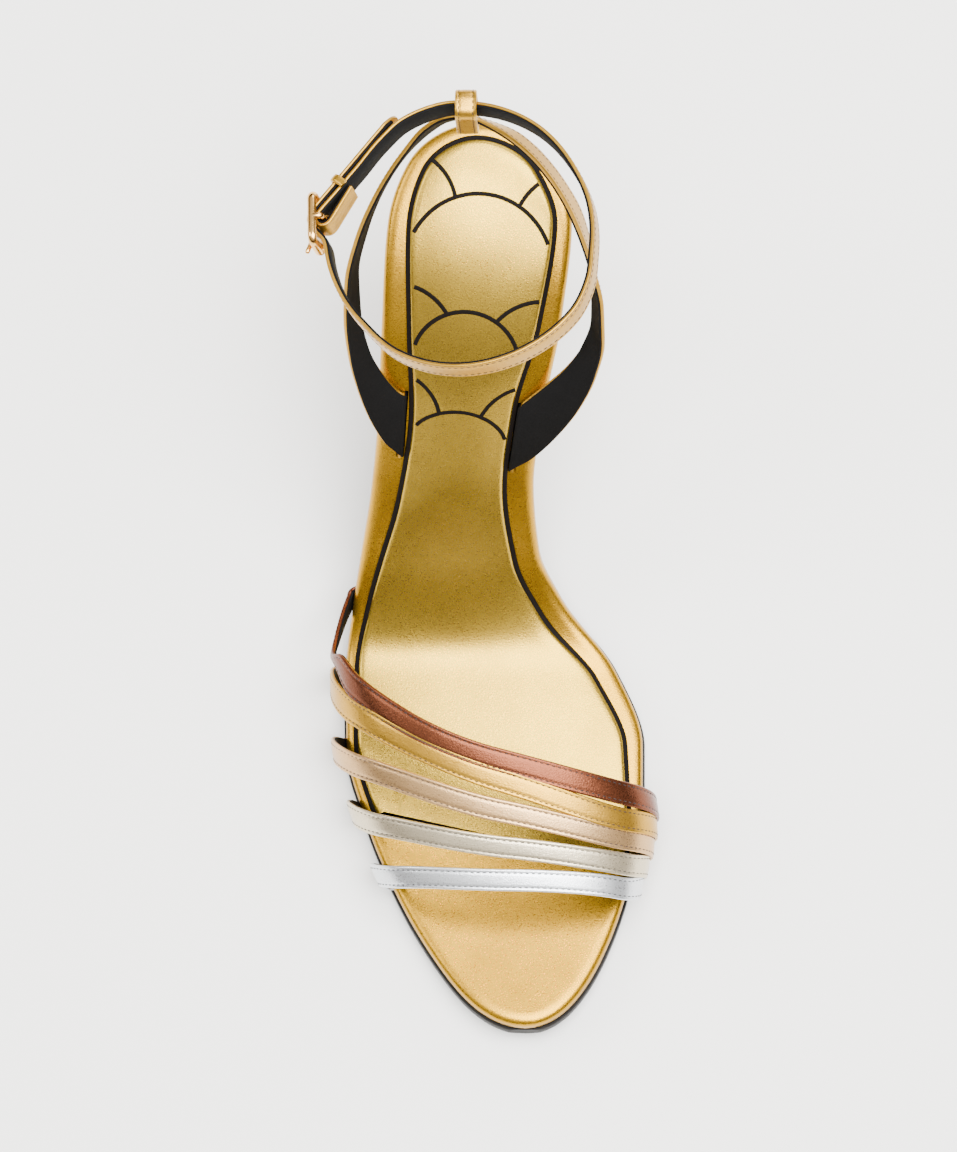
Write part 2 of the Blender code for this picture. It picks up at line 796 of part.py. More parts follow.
def forefoot_frames(name):
    """The strap's frames from its outer tuck, over the foot, to its inner tuck."""
    marks = []
    for side in (-1, 1):
        legs = []
        for k in range(4):
            step = TUCK_DEPTH * (1.0 - k / 4.0)
            legs.append((30.0 * (step + 1.6) / (TUCK_DEPTH + 1.6), "tuck", step))
        for degrees in (90.0, 60.0, 30.0, 0.0):
            legs.append((5.0 * degrees / 90.0, "turn", degrees))
        if side < 0:
            marks += [(-lead, kind, value, side) for lead, kind, value in legs]
            for k in range(1, 27):
                marks.append((180.0 * k / 27, "arch", 180.0 * k / 27, 0))
        else:
            marks += [(180.0 + lead, kind, value, side) for lead, kind, value in reversed(legs)]
    frames = []
    for i, mark in enumerate(marks):
        before = marks[max(i - 1, 0)]
        after = marks[min(i + 1, len(marks) - 1)]
        s = strap_station(name, mark[0])
        run = strap_place(after, strap_station(name, after[0]))
        run -= strap_place(before, strap_station(name, before[0]))
        along = sole_frame(s)[0]
        drift = abs(run.dot(along)) / run.length
        reach = 0.5 * STRAP_WIDTH / max(math.sqrt(1.0 - min(drift, 0.99) ** 2), 0.55)
        rear = strap_place(mark, s + reach)
        front = strap_place(mark, s - reach)
        half = (rear - front) * 0.5
        normal = run.cross(half).normalized()
        tilt = shingle(mark[0])
        lowered = half * math.cos(tilt) - normal * half.length * math.sin(tilt)
        upright = run.cross(lowered).normalized()
        frames.append((strap_place(mark, s), lowered, upright))
    return frames


def strap_place(mark, s):
    """The point of a strap's middle line at a mark of its run, at the length s."""
    _, kind, value, side = mark
    if kind == "arch":
        x, h = arch_point(s, value)
    elif kind == "turn":
        x, h = turn_point(s, side, value)
    else:
        x, h = turn_point(s, side, 90.0)
        x -= side * value
    return on_sole(s, x, h)


def make_forefoot_straps():
    straps = None
    for name, _, _, _, _, _, _, _ in FOREFOOT_STRAPS:
        mesh = ribbon(forefoot_frames(name), STRAP_THICK)
        if straps is None:
            straps = add_object("forefoot_straps", mesh, (0.78, 0.66, 0.45), 0.35, 0.5)
        else:
            combine(straps, add_cutter(f"join_{name}", mesh), "UNION")
    return straps


def ring_frame():
    """Centre and directions of the ankle ring: inner side, back, and up along its axis."""
    back_y, back_z, _ = CURVE.at(LENGTH)
    centre = Vector((ANKLE_OFFSET, ANKLE_CENTRE_Y * LENGTH, back_z + ANKLE_ABOVE_SEAT))
    rise = math.radians(ANKLE_RISE)
    lean = math.radians(ANKLE_LEAN)
    inner = Vector((math.cos(lean), 0.0, math.sin(lean)))
    level_back = Vector((0.0, math.cos(rise), -math.sin(rise)))
    up = inner.cross(level_back).normalized()
    return centre, inner, up.cross(inner), up


def ring_point(azimuth, radius):
    centre, inner, back, _ = ring_frame()
    angle = math.radians(azimuth)
    return centre + inner * radius * math.cos(angle) + back * radius * math.sin(angle)


def band_point(azimuth, inset=0.0):
    """The ankle strap's middle line at an azimuth, or a line that lies inside it."""
    return ring_point(azimuth, ANKLE_RADIUS * cubic(ANKLE_PATH, 1, azimuth) - inset)


def heel_back():
    """Upper and lower edge of the heel strap at the back of the ankle, under the ankle strap."""
    _, _, back, up = ring_frame()
    seam = band_point(90.0) - up * (0.5 * ANKLE_WIDTH + SEAM_DROP) + back * SEAM_BACK
    seam.x = ANKLE_OFFSET
    lean = math.radians(SEAM_LEAN)
    return seam, seam + Vector((0.0, math.sin(lean), -math.cos(lean))) * STRAP_WIDTH


def heel_edges(end):
    """Rows of (upper edge, lower edge) from the slot to the back of the ankle."""
    side = SLOTS[end][0]
    top, bottom = heel_back()
    frames = slot_frames(end, 0.0, SLOT_CLEAR, FOOTBED_THICK + SLOT_RISE)
    rows = [(middle + half, middle - half) for middle, half, _ in frames]
    front, rear = rows[-1]
    table = tuple((i, *row) for i, row in enumerate(HEEL_STRAP[end]))
    for k in range(1, HEEL_STEPS + 1):
        place = (len(table) - 1) * k / HEEL_STEPS
        upper_share = cubic(table, 1, place)
        lower_share = cubic(table, 3, place)
        upper = front.lerp(top, upper_share)
        lower = rear.lerp(bottom, lower_share)
        lower += SAG_DIRECTION * HEEL_STRAP_SAG * math.sin(math.pi * lower_share)
        fade = max(0.0, 1.0 - place) ** 2
        upper_x = ANKLE_OFFSET + side * ANKLE_RADIUS * cubic(table, 2, place)
        lower_x = ANKLE_OFFSET + side * ANKLE_RADIUS * cubic(table, 4, place)
        upper.x = upper_x * (1.0 - fade) + front.x * fade
        lower.x = lower_x * (1.0 - fade) + rear.x * fade
        rows.append((upper, lower))
    return rows


def make_heel_strap():
    outer = heel_edges("outer")
    inner = heel_edges("inner")
    rows = outer + list(reversed(inner[:-1]))
    frames = []
    for i, (upper, lower) in enumerate(rows):
        before = rows[max(i - 1, 0)]
        after = rows[min(i + 1, len(rows) - 1)]
        run = (after[0] + after[1] - before[0] - before[1]).normalized()
        half = (upper - lower) * 0.5
        normal = half.cross(run).normalized()
        frames.append(((upper + lower) * 0.5, half, normal))
    return add_object("heel_strap", ribbon(frames, STRAP_THICK), (0.68, 0.54, 0.30), 0.4, 0.4)


def bar_point():
    return ring_point(BAR_AZIMUTH, ANKLE_RADIUS * BAR_OUT)


def buckle_axes():
    """Directions of the buckle: along the strap towards the front, out of the ankle, and up."""
    facing = BAR_AZIMUTH + BUCKLE_TURN
    out = (ring_point(facing, 2.0) - ring_point(facing, 1.0)).normalized()
    up = ring_frame()[3]
    return up.cross(out).normalized(), out, up


def round_bar(degrees, radius):
    """A point round the bar: 0 lies towards the front, 90 out of the ankle."""
    run, out, _ = buckle_axes()
    angle = math.radians(degrees)
    return bar_point() + (run * math.cos(angle) + out * math.sin(angle)) * radius


def touch_angle(point, radius, turn):
    """Where a straight line from the point meets a circle round the bar, in degrees as above."""
    run, out, _ = buckle_axes()
    away = point - bar_point()
    angle = math.atan2(away.dot(out), away.dot(run)) % (2.0 * math.pi)
    return math.degrees(angle + turn * math.acos(radius / away.length))


def arc_round_bar(first, last, radius):
    return [round_bar(first + (last - first) * k / BAR_STEPS, radius) for k in range(BAR_STEPS + 1)]


def fold_radius():
    """Middle line of the chape, the strap's end that is folded round the bar."""
    return WIRE_RADIUS + GAP + 0.5 * ANKLE_THICK


def over_radius():
    """Middle line of the running strap where it passes over bar and chape."""
    return fold_radius() + ANKLE_THICK + GAP


def tip_point():
    return ring_point(TIP_AZIMUTH, ANKLE_RADIUS * TIP_OUT)


def tail_start():
    """Where the free end leaves the bar, and its direction towards the tip."""
    angle = touch_angle(tip_point(), over_radius(), -1)
    start = round_bar(angle, over_radius())
    return angle, start, (tip_point() - start).normalized()


def chape_path():
    """The folded end: its inner layer from the cut end, then round the bar."""
    end = band_point(CHAPE_END, ANKLE_THICK + CHAPE_SPACE)
    inside = touch_angle(end, fold_radius(), 1) - 360.0
    outside = touch_angle(band_point(ANKLE_PATH[0][0]), fold_radius(), -1)
    near = round_bar(inside, fold_radius())
    legs = [end.lerp(near, k / CHAPE_STEPS) for k in range(CHAPE_STEPS)]
    return legs + arc_round_bar(inside, outside, fold_radius())


def make_ankle_strap():
    run, out, up = buckle_axes()
    first = ANKLE_PATH[0][0]
    last = ANKLE_PATH[-1][0]
    points = chape_path()
    points += [band_point(first + (last - first) * k / BAND_STEPS) for k in range(BAND_STEPS + 1)]
    inside_frame = BUCKLE_STAND - BUCKLE_DEPTH - 2.0 * GAP - 0.7 * ANKLE_THICK
    entry = bar_point() + run * (BUCKLE_HALF - WIRE_RADIUS) + out * inside_frame
    points.append(entry)
    angle, start, along = tail_start()
    points += arc_round_bar(touch_angle(entry, over_radius(), 1) - 360.0, angle, over_radius())
    length = (tip_point() - start).length
    points += [start + along * length * k / TAIL_STEPS for k in range(1, TAIL_STEPS)]
    points += [start + along * (length - back) for back in (TIP[2][0], TIP[1][0], TIP[0][0])]
    frames = []
    for i, point in enumerate(points):
        before = points[max(i - 1, 0)]
        after = points[min(i + 1, len(points) - 1)]
        heading = (after - before).normalized()
        left = (point - points[-1]).length
        half = cubic(TIP, 1, left) if i > len(points) // 2 else 0.5
        frames.append((point, up * ANKLE_WIDTH * half, up.cross(heading).normalized()))
    strap = add_object("ankle_strap", ribbon(frames, ANKLE_THICK), (0.68, 0.54, 0.30), 0.4, 0.4)
    cutter = add_cutter("cut_prong", tube(prong_path(), PRONG_RADIUS + GAP, up, 10))
    combine(strap, cutter, "DIFFERENCE")
    return strap


def make_buckle_frame():
    """A frame with a bar across its middle; the bar's ends step in towards the ankle."""
    run, out, up = buckle_axes()
    bar = bar_point()
    middle = bar + out * BUCKLE_STAND
    half_up = 0.5 * BUCKLE_WINDOW + WIRE_RADIUS
    path = rounded_loop(middle, run, up, BUCKLE_HALF, half_up, 2.5 * WIRE_RADIUS, 5)
    frame = tube(path, WIRE_RADIUS, out, 10, True, BUCKLE_DEPTH)
    frame = add_object("buckle_frame", frame, (0.83, 0.66, 0.36), 0.15, 1.0)
    staple = []
    for side in (-1.0, 1.0):
        leg = [
            middle + up * side * half_up,
            bar + up * side * half_up + out * WIRE_RADIUS,
            bar + up * side * (half_up - 0.3 * WIRE_RADIUS) + out * 0.3 * WIRE_RADIUS,
            bar + up * side * (half_up - WIRE_RADIUS),
        ]
        staple += leg if side < 0.0 else reversed(leg)
    combine(frame, add_cutter("join_bar", tube(staple, WIRE_RADIUS, run, 10)), "UNION")
    return frame


def prong_path():
    """The prong's wire: an eye round the bar, then out through the strap and over the frame's end."""
    run, out, _ = buckle_axes()
    reach = WIRE_RADIUS + GAP + PRONG_RADIUS
    rest = BUCKLE_STAND + BUCKLE_DEPTH + GAP + PRONG_RADIUS
    slope = (rest - reach) / BUCKLE_HALF
    path = [round_bar(-30.0 - 240.0 * k / 8, reach) for k in range(9)]
    for length in (0.5 * BUCKLE_HALF, BUCKLE_HALF + PRONG_PAST):
        path.append(bar_point() + run * length + out * (reach + slope * length))
    return path


def make_buckle_prong():
    up = ring_frame()[3]
    prong = tube(prong_path(), PRONG_RADIUS, up, 8)
    return add_object("buckle_prong", prong, (0.83, 0.66, 0.36), 0.15, 1.0)


def band_along(points, centre, across, width, thickness, closed):
    """A leather band bent along points, with its faces looking away from the centre."""
    frames = []
    count = len(points)
    for i, point in enumerate(points):
        after = points[(i + 1) % count] if closed else points[min(i + 1, count - 1)]
        before = points[i - 1] if closed else points[max(i - 1, 0)]
        normal = (after - before).normalized().cross(across).normalized()
        if normal.dot(point - centre) < 0.0:
            normal = -normal
        frames.append((point, across * width * 0.5, normal))
    return ribbon(frames, thickness, closed)


def make_strap_keeper():
    """The small band that holds the strap's free end, caught between the layers of the fold."""
    up = ring_frame()[3]
    _, start, along = tail_start()
    out = along.cross(up).normalized()
    if out.dot(start - bar_point()) < 0.0:
        out = -out
    middle = start + along * KEEPER_AT
    outside = 0.5 * ANKLE_THICK + GAP + 0.5 * KEEPER_THICK
    inside = 1.5 * ANKLE_THICK + GAP
    half_up = 0.5 * ANKLE_WIDTH + GAP + 0.5 * KEEPER_THICK
    corner = 2.0 * KEEPER_THICK
    points = [middle - out * inside - up * half_up]
    for first, last, side in ((-90, 0, -1), (0, 90, 1)):
        centre = middle + out * (outside - corner) + up * side * (half_up - corner)
        for k in range(4):
            angle = math.radians(first + (last - first) * k / 3)
            points.append(centre + (out * math.cos(angle) + up * math.sin(angle)) * corner)
    points.append(middle - out * inside + up * half_up)
    mesh = band_along(points, middle, along, KEEPER_WIDTH, KEEPER_THICK, False)
    return add_object("strap_keeper", mesh, (0.72, 0.55, 0.22), 0.35, 0.5)


def make_heel_loop():
    """The loop at the back that ties the heel strap to the ankle strap."""
    across = Vector((1.0, 0.0, 0.0))
    up = ring_frame()[3]
    seam, hem = heel_back()
    top = band_point(90.0) + up * 0.5 * ANKLE_WIDTH
    held = [top, top - up * ANKLE_WIDTH, seam, hem]
    for point in held:
        point.x = LOOP_OFFSET
    rise = (top - hem).normalized()
    out = rise.cross(across).normalized()
    depths = [(point - top).dot(out) for point in held]
    half_out = 0.5 * (max(depths) - min(depths) + STRAP_THICK + LOOP_THICK) + LOOP_SLACK * GAP
    half_rise = 0.5 * ((top - hem).length + LOOP_THICK) + LOOP_SLACK * GAP
    centre = (top + hem) * 0.5 + out * 0.5 * (max(depths) + min(depths))
    points = rounded_loop(centre, out, rise, half_out, half_rise, 0.7 * half_out, 4)
    mesh = band_along(points, centre, across, LOOP_WIDTH, LOOP_THICK, True)
    return add_object("heel_loop", mesh, (0.72, 0.55, 0.22), 0.35, 0.5)


def main():
    for old in list(bpy.data.objects):
        bpy.data.objects.remove(old, do_unlink=True)
    make_footbed()
    make_insock()
    make_outsole()
    _, tip = make_heel()
    make_top_lift(tip)
    make_forefoot_straps()
    make_heel_strap()
    make_ankle_strap()
    make_buckle_frame()
    make_buckle_prong()
    make_strap_keeper()
    make_heel_loop()


main()
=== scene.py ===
"""Looks of a right-foot strappy high heeled sandal in foiled leather."""

import logging
import math
from dataclasses import dataclass, field
from enum import Enum
from functools import cached_property
from typing import Callable, Iterable, Sequence, TypeVar

import bmesh
import bpy
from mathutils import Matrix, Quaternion, Vector


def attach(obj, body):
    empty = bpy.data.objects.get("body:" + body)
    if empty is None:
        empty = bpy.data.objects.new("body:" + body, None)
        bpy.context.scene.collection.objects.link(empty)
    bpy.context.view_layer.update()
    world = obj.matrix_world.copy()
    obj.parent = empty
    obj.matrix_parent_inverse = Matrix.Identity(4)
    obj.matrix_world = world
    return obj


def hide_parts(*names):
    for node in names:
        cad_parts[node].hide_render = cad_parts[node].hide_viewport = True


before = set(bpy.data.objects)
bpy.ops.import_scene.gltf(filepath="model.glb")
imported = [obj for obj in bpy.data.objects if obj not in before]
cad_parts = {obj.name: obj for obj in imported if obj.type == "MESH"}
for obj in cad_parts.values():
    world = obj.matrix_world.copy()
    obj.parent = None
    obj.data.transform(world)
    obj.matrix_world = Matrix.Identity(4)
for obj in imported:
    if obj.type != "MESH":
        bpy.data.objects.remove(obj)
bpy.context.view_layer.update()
LOG = logging.getLogger("sandal")

MM = 0.001
Frame = tuple[Vector, Vector, Vector]
Table = Sequence[tuple[float, ...]]
Point = tuple[float, float]
Colour = tuple[float, float, float, float]
Socket = bpy.types.NodeSocket
Item = TypeVar("Item")

STRAP_WIDTH = 6.5
LINING_THICK = 0.5
LINING_OVERLAP = 0.05
# how finely wires are made: sides of the section, rings of a rounded end and degrees between them
WIRE_SIDES = 20
CAP_RINGS = 5
CAP_STEP = 17.0
# the heel strap's slots: side, front and rear end as shares of the length, distance from the edge
SLOTS: tuple[tuple[int, float, float, float], ...] = (
    (-1, 0.650, 0.729, 6.6),
    (1, 0.631, 0.7145, 6.2),
)


def linear(code: str) -> Colour:
    """Turns an sRGB hex colour into the linear colour a socket takes.

    Args:
        code: Six hex digits, such as "c9a050".

    Returns:
        Red, green, blue and alpha, linear.
    """
    parts = [int(code[i:i + 2], 16) / 255.0 for i in (0, 2, 4)]
    made = [c / 12.92 if c <= 0.04045 else ((c + 0.055) / 1.055) ** 2.4 for c in parts]
    return (made[0], made[1], made[2], 1.0)


def cubic(rows: Table, column: int, at: float) -> float:
    """Reads a table's column smoothly, with no overshoot between its rows.

    Args:
        rows: Rows whose first number rises or falls steadily.
        column: Which number of a row is wanted.
        at: Where to read it.

    Returns:
        The smooth value there.
    """
    flip = -1.0 if rows[-1][0] < rows[0][0] else 1.0
    xs = [row[0] * flip for row in rows]
    ys = [row[column] for row in rows]
    at = min(max(at * flip, xs[0]), xs[-1])
    steps = [b - a for a, b in zip(xs, xs[1:])]
    rates = [(b - a) / h for a, b, h in zip(ys, ys[1:], steps)]
    slopes = [rates[0]]
    for i in range(1, len(rates)):
        before = rates[i - 1]
        after = rates[i]
        if before * after <= 0.0:
            slopes.append(0.0)
            continue
        near = 2.0 * steps[i] + steps[i - 1]
        far = steps[i] + 2.0 * steps[i - 1]
        slopes.append((near + far) / (near / before + far / after))
    slopes.append(rates[-1])
    i = 0
    while i < len(rates) - 1 and at > xs[i + 1]:
        i += 1
    h = steps[i]
    t = (at - xs[i]) / h
    start = ys[i] * (1.0 + 2.0 * t) * (1.0 - t) ** 2 + slopes[i] * h * t * (1.0 - t) ** 2
    end = ys[i + 1] * t * t * (3.0 - 2.0 * t) + slopes[i + 1] * h * t * t * (t - 1.0)
    return start + end


def plug(tree: bpy.types.NodeTree, node: bpy.types.Node, inputs: dict[str | int, object]) -> None:
    """Sets a node's inputs.

    Args:
        tree: Node tree it is in.
        node: The node.
        inputs: Socket name or number to a value, or to the output socket that feeds it.
    """
    for name, value in inputs.items():
        if isinstance(value, Socket):
            tree.links.new(value, node.inputs[name])
        else:
            node.inputs[name].default_value = value


def add_node(
    tree: bpy.types.NodeTree, kind: str, inputs: dict[str | int, object] | None = None, **settings: object,
) -> bpy.types.Node:
    """Adds one shader node.

    Args:
        tree: Node tree it goes in.
        kind: Its Blender type, such as "ShaderNodeBump".
        inputs: What its inputs are set to, as plug takes them.
        settings: Properties of the node.

    Returns:
        The new node.
    """
    node = tree.nodes.new(kind)
    for name, value in settings.items():
        setattr(node, name, value)
    plug(tree, node, inputs or {})
    return node


class Graph:
    """A new material's node tree, with a short call for each node that the finishes share."""

    def __init__(self, name: str) -> None:
        """Makes the material.

        Args:
            name: The material's name.
        """
        self.material = bpy.data.materials.new(name)
        self.material.use_nodes = True
        self.tree = self.material.node_tree
        self.shader = self.tree.nodes["Principled BSDF"]

    @cached_property
    def place(self) -> Socket:
        """Returns the point on the piece, in metres, that the patterns are laid by."""
        return add_node(self.tree, "ShaderNodeTexCoord").outputs["Object"]

    def noise(self, scale: float, detail: float, output: str = "Fac", roughness: float = 0.5) -> Socket:
        """Returns noise with about so many lumps a metre."""
        inputs = {"Vector": self.place, "Scale": scale, "Detail": detail, "Roughness": roughness}
        return add_node(self.tree, "ShaderNodeTexNoise", inputs).outputs[output]

    def cells(self, size_mm: float, output: str, vector: Socket, **settings: object) -> Socket:
        """Returns a pattern of cells of a real size."""
        inputs = {"Vector": vector, "Scale": 1.0 / (size_mm * MM)}
        return add_node(self.tree, "ShaderNodeTexVoronoi", inputs, **settings).outputs[output]

    def spread(
        self, value: Socket, low: float, high: float, first: float = 0.0, last: float = 1.0,
        **settings: object,
    ) -> Socket:
        """Returns a value stretched from the range low to high into the range first to last."""
        inputs = {"Value": value, "From Min": low, "From Max": high, "To Min": first, "To Max": last}
        return add_node(self.tree, "ShaderNodeMapRange", inputs, **settings).outputs["Result"]

    def maths(self, operation: str, *values: Socket | float, clamp: bool = False) -> Socket:
        """Returns the result of one operation on sockets and numbers."""
        inputs = dict(enumerate(values))
        return add_node(self.tree, "ShaderNodeMath", inputs, operation=operation, use_clamp=clamp).outputs[0]

    def paint(self, share: Socket, first: Colour, second: Colour) -> Socket:
        """Returns a blend of two linear colours."""
        inputs = {0: share, 6: first, 7: second}
        return add_node(self.tree, "ShaderNodeMix", inputs, data_type="RGBA").outputs[2]

    def bump(self, height: Socket, strength: float, relief_mm: float) -> Socket:
        """Returns the normal of a relief of a real depth."""
        inputs = {"Height": height, "Strength": strength, "Distance": relief_mm * MM}
        return add_node(self.tree, "ShaderNodeBump", inputs).outputs["Normal"]

    def finished(self, inputs: dict[str | int, object]) -> bpy.types.Material:
        """Returns the material, its shader set as plug takes it."""
        plug(self.tree, self.shader, inputs)
        return self.material


@dataclass(frozen=True)
class FoiledLeather:
    """Kid leather with a metal foil pressed on: a soft broad gleam broken up by fine grain."""

    name: str
    colour: str
    # darker tone, used for the random mottle and for the painted shade in the grain's valleys
    deep: str
    roughness: float
    metallic: float = 0.9
    grain_mm: float = 0.7
    bend_mm: float = 0.6
    valley: float = 0.28
    relief_mm: float = 0.03
    strength: float = 0.45
    fine_weight: float = 0.45
    mottle: float = 0.3
    # how strongly painted shade darkens the grain's valleys with the deep colour
    valley_shade: float = 0.12

    def make(self) -> bpy.types.Material:
        """Returns foil whose grain cells are of real size, with painted shade darkening the valleys between
        them.
        """
        graph = Graph(self.name)
        warp = graph.noise(900.0, 2.0, "Color")
        inputs = {0: self.bend_mm * MM, 4: graph.place, 5: warp}
        bent = add_node(graph.tree, "ShaderNodeMix", inputs, data_type="VECTOR").outputs[1]
        cells = graph.cells(self.grain_mm, "Distance", bent, feature="DISTANCE_TO_EDGE")
        valley = graph.spread(cells, 0.0, self.valley, interpolation_type="SMOOTHSTEP")
        fine = graph.noise(2600.0, 3.0)
        height = graph.maths("MULTIPLY_ADD", fine, self.fine_weight, valley)
        cloud = graph.noise(60.0, 3.0, roughness=0.6)
        tone = graph.spread(cloud, 0.3, 0.7, 0.0, self.mottle)
        # painted shade: the deep colour laid into the valleys between the grain cells
        valley_shade = graph.maths("MULTIPLY_ADD", valley, -self.valley_shade, self.valley_shade)
        amount = graph.maths("ADD", tone, valley_shade, clamp=True)
        return graph.finished({
            "Base Color": graph.paint(amount, linear(self.colour), linear(self.deep)),
            "Roughness": graph.spread(fine, 0.3, 0.7, self.roughness - 0.05, self.roughness + 0.07),
            "Normal": graph.bump(height, self.strength, self.relief_mm),
            "Metallic": self.metallic,
        })


@dataclass(frozen=True)
class DyedLeather:
    """Drum-dyed lining or sole leather: matt with a weak sheen, pores showing as tiny pits."""

    name: str
    colour: str
    pale: str
    roughness: float
    pore_mm: float
    relief_mm: float
    shine: float

    def make(self) -> bpy.types.Material:
        """Returns plain leather with pores and a little unevenness in the dye."""
        graph = Graph(self.name)
        pores = graph.cells(self.pore_mm, "Distance", graph.place)
        dye = graph.noise(180.0, 4.0)
        return graph.finished({
            "Base Color": graph.paint(dye, linear(self.colour), linear(self.pale)),
            "Roughness": graph.spread(dye, 0.0, 1.0, self.roughness - 0.08, self.roughness + 0.08),
            "Normal": graph.bump(pores, 0.5, self.relief_mm),
            "Specular IOR Level": self.shine,
        })


@dataclass(frozen=True)
class SpunThread:
    """Bonded polyester sewing thread, twisted, with a dull silky look."""

    name: str
    colour: str
    twist_mm: float = 0.35
    shade: float = 0.55

    def make(self) -> bpy.types.Material:
        """Returns thread with a fine slanted twist."""
        graph = Graph(self.name)
        inputs = {"Vector": graph.place, "Scale": 1.0 / (self.twist_mm * MM * 6.283)}
        wave = add_node(graph.tree, "ShaderNodeTexWave", inputs, bands_direction="DIAGONAL")
        twist = wave.outputs["Fac"]
        red, green, blue, alpha = linear(self.colour)
        dark = (red * self.shade, green * self.shade, blue * self.shade, alpha)
        return graph.finished({
            "Base Color": graph.paint(twist, dark, linear(self.colour)),
            "Roughness": 0.6,
            "Normal": graph.bump(twist, 0.4, 0.04),
        })


@dataclass(frozen=True)
class PlatedMetal:
    """Cast zinc, polished and gold plated: a clear mirror with faint tumbling waves."""

    name: str
    colour: str
    roughness: float = 0.12

    def make(self) -> bpy.types.Material:
        """Returns polished plate with soft waviness and a few hairline rubs."""
        graph = Graph(self.name)
        rubs = graph.noise(1800.0, 4.0)
        return graph.finished({
            "Base Color": linear(self.colour),
            "Roughness": graph.spread(rubs, 0.35, 0.75, self.roughness, self.roughness + 0.14),
            "Normal": graph.bump(graph.noise(420.0, 1.0), 0.25, 0.12),
            "Metallic": 1.0,
        })


class Leather(Enum):
    """The foiled leathers of the sandal: record slot, name, foil, its darker tone for the mottle and the
    painted shade in the grain's valleys, thread, roughness.
    """

    # deep yellow foil over the board: the plain gold of the toe, with a bright rolled rim
    FOOTBED = ("footbed_leather", "foiled_kid_deep_gold", "ba8c1a", "7a5610", "4c340f", 0.29)
    # paler foil, a little duller where it is walked on: bright on the level, brown on the slope
    INSOCK = ("insock_leather", "foiled_kid_light_gold", "ba9832", "866824", "40300f", 0.29)
    # thin foils pulled tight over the straps: narrow bright streaks that run along them
    GOLD = ("gold_leather", "foiled_kid_yellow_gold", "c0922e", "8a661c", "38260c", 0.30)
    ANKLE = ("insock_leather", "foiled_kid_bright_gold", "b4882c", "7e5c1c", "3e2a0e", 0.36)
    BRONZE = ("bronze_leather", "foiled_kid_bronze", "6c3c26", "3c1e14", "241410", 0.28)
    CHAMPAGNE = ("champagne_leather", "foiled_kid_champagne", "cca472", "96744a", "4a3624", 0.30)
    PLATINUM = ("platinum_leather", "foiled_kid_platinum", "d6c8ac", "a29478", "50483c", 0.30)
    SILVER = ("silver_leather", "foiled_kid_silver", "dee1e5", "adb1b6", "4c4e52", 0.30)

    @property
    def slot(self) -> str:
        """Returns the record's material slot."""
        return self.value[0]

    def finish(self) -> FoiledLeather:
        """Returns this leather's finish."""
        return FoiledLeather(self.value[1], self.value[2], self.value[3], self.value[5])

    def sewing(self) -> SpunThread:
        """Returns the thread that this leather is sewn with."""
        return SpunThread(f"polyester_thread_{self.name.lower()}", self.value[4])


class Wardrobe:
    """Makes each material once and hands it out by name."""

    def __init__(self) -> None:
        """Starts with no materials made."""
        self.made: dict[str, bpy.types.Material] = {}

    def get(self, finish: FoiledLeather | DyedLeather | SpunThread | PlatedMetal) -> bpy.types.Material:
        """Hands out a finish's material.

        Args:
            finish: What the piece is made of.

        Returns:
            The material, built on first use.
        """
        if finish.name not in self.made:
            self.made[finish.name] = finish.make()
        return self.made[finish.name]

    def foil(self, name: str, mesh: bmesh.types.BMesh, leather: Leather, node: str) -> bpy.types.Object:
        """Returns a piece dressed in a foiled leather."""
        return dress(name, mesh, self.get(leather.finish()), leather.slot, [node])

    def plate(self, name: str, mesh: bmesh.types.BMesh, node: str) -> bpy.types.Object:
        """Returns a piece dressed in gold plate."""
        return dress(name, mesh, self.get(PLATE), "buckle_metal", [node])

    def sew(
        self, name: str, leather: Leather, frames: Sequence[Frame], inset: float, height: float,
        **sizes: float,
    ) -> None:
        """Sews a row of stitches along both edges of a strap.

        Args:
            name: Name of the stitches.
            leather: Leather that they go through.
            frames: The strap's frames.
            inset: Distance of the rows from the edges.
            height: Height of the face over the middle line.
            sizes: Pitch, length and thickness, where they differ from stitch_row's own.
        """
        rows = bmesh.new()
        for side in (-1, 1):
            stitch_row(rows, frames, inset, height, side, **sizes)
        dress(name, rows, self.get(leather.sewing()), leather.slot)

    def line(self, name: str, frames: Sequence[Frame], section: Sequence[Point]) -> None:
        """Lines a strap with black leather."""
        dress(name, sweep(frames, section), self.get(LINING), "lining_leather")

    def strap(
        self, face: str, stem: str, node: str, leather: Leather, width: float, thick: float,
        runs: tuple[Sequence[Frame], Sequence[Frame], Sequence[Frame]],
    ) -> None:
        """Dresses a folded strap in its face, its lining and its stitches.

        Args:
            face: Name of its face.
            stem: How the names of its lining and stitches start.
            node: CAD node that the face stands for.
            leather: What the face is made of.
            width: Its width.
            thick: Its thickness with the lining.
            runs: Frames of the face, of the lining and of the stitches.
        """
        half = 0.5 * width
        deep = 0.5 * thick
        seam = LINING_THICK - deep
        self.foil(face, sweep(runs[0], strap_face(half, deep, seam)), leather, node)
        self.line(f"{stem}_lining", runs[1], strap_back(half, 0.3, seam + LINING_OVERLAP, -deep))
        self.sew(f"{stem}_stitches", leather, runs[2], 1.05, deep - 0.05)


# dull black calf inside the straps: it swallows the light, so the bands read as thin gold edges
LINING = DyedLeather("drum_dyed_black_lining", "040404", "0a0909", 0.7, 0.45, 0.05, 0.1)
# waxed and ironed edge of the sole: a dark line round the toe with a faint gleam
SOLE_EDGE = DyedLeather("burnished_black_sole_leather", "080605", "100c09", 0.5, 0.7, 0.05, 0.2)
# brown ink soaked into the sock's edge and drawn on its face: flat dark lines
EDGE_INK = DyedLeather("inked_insock_edge", "070402", "0d0704", 0.7, 0.6, 0.03, 0.1)
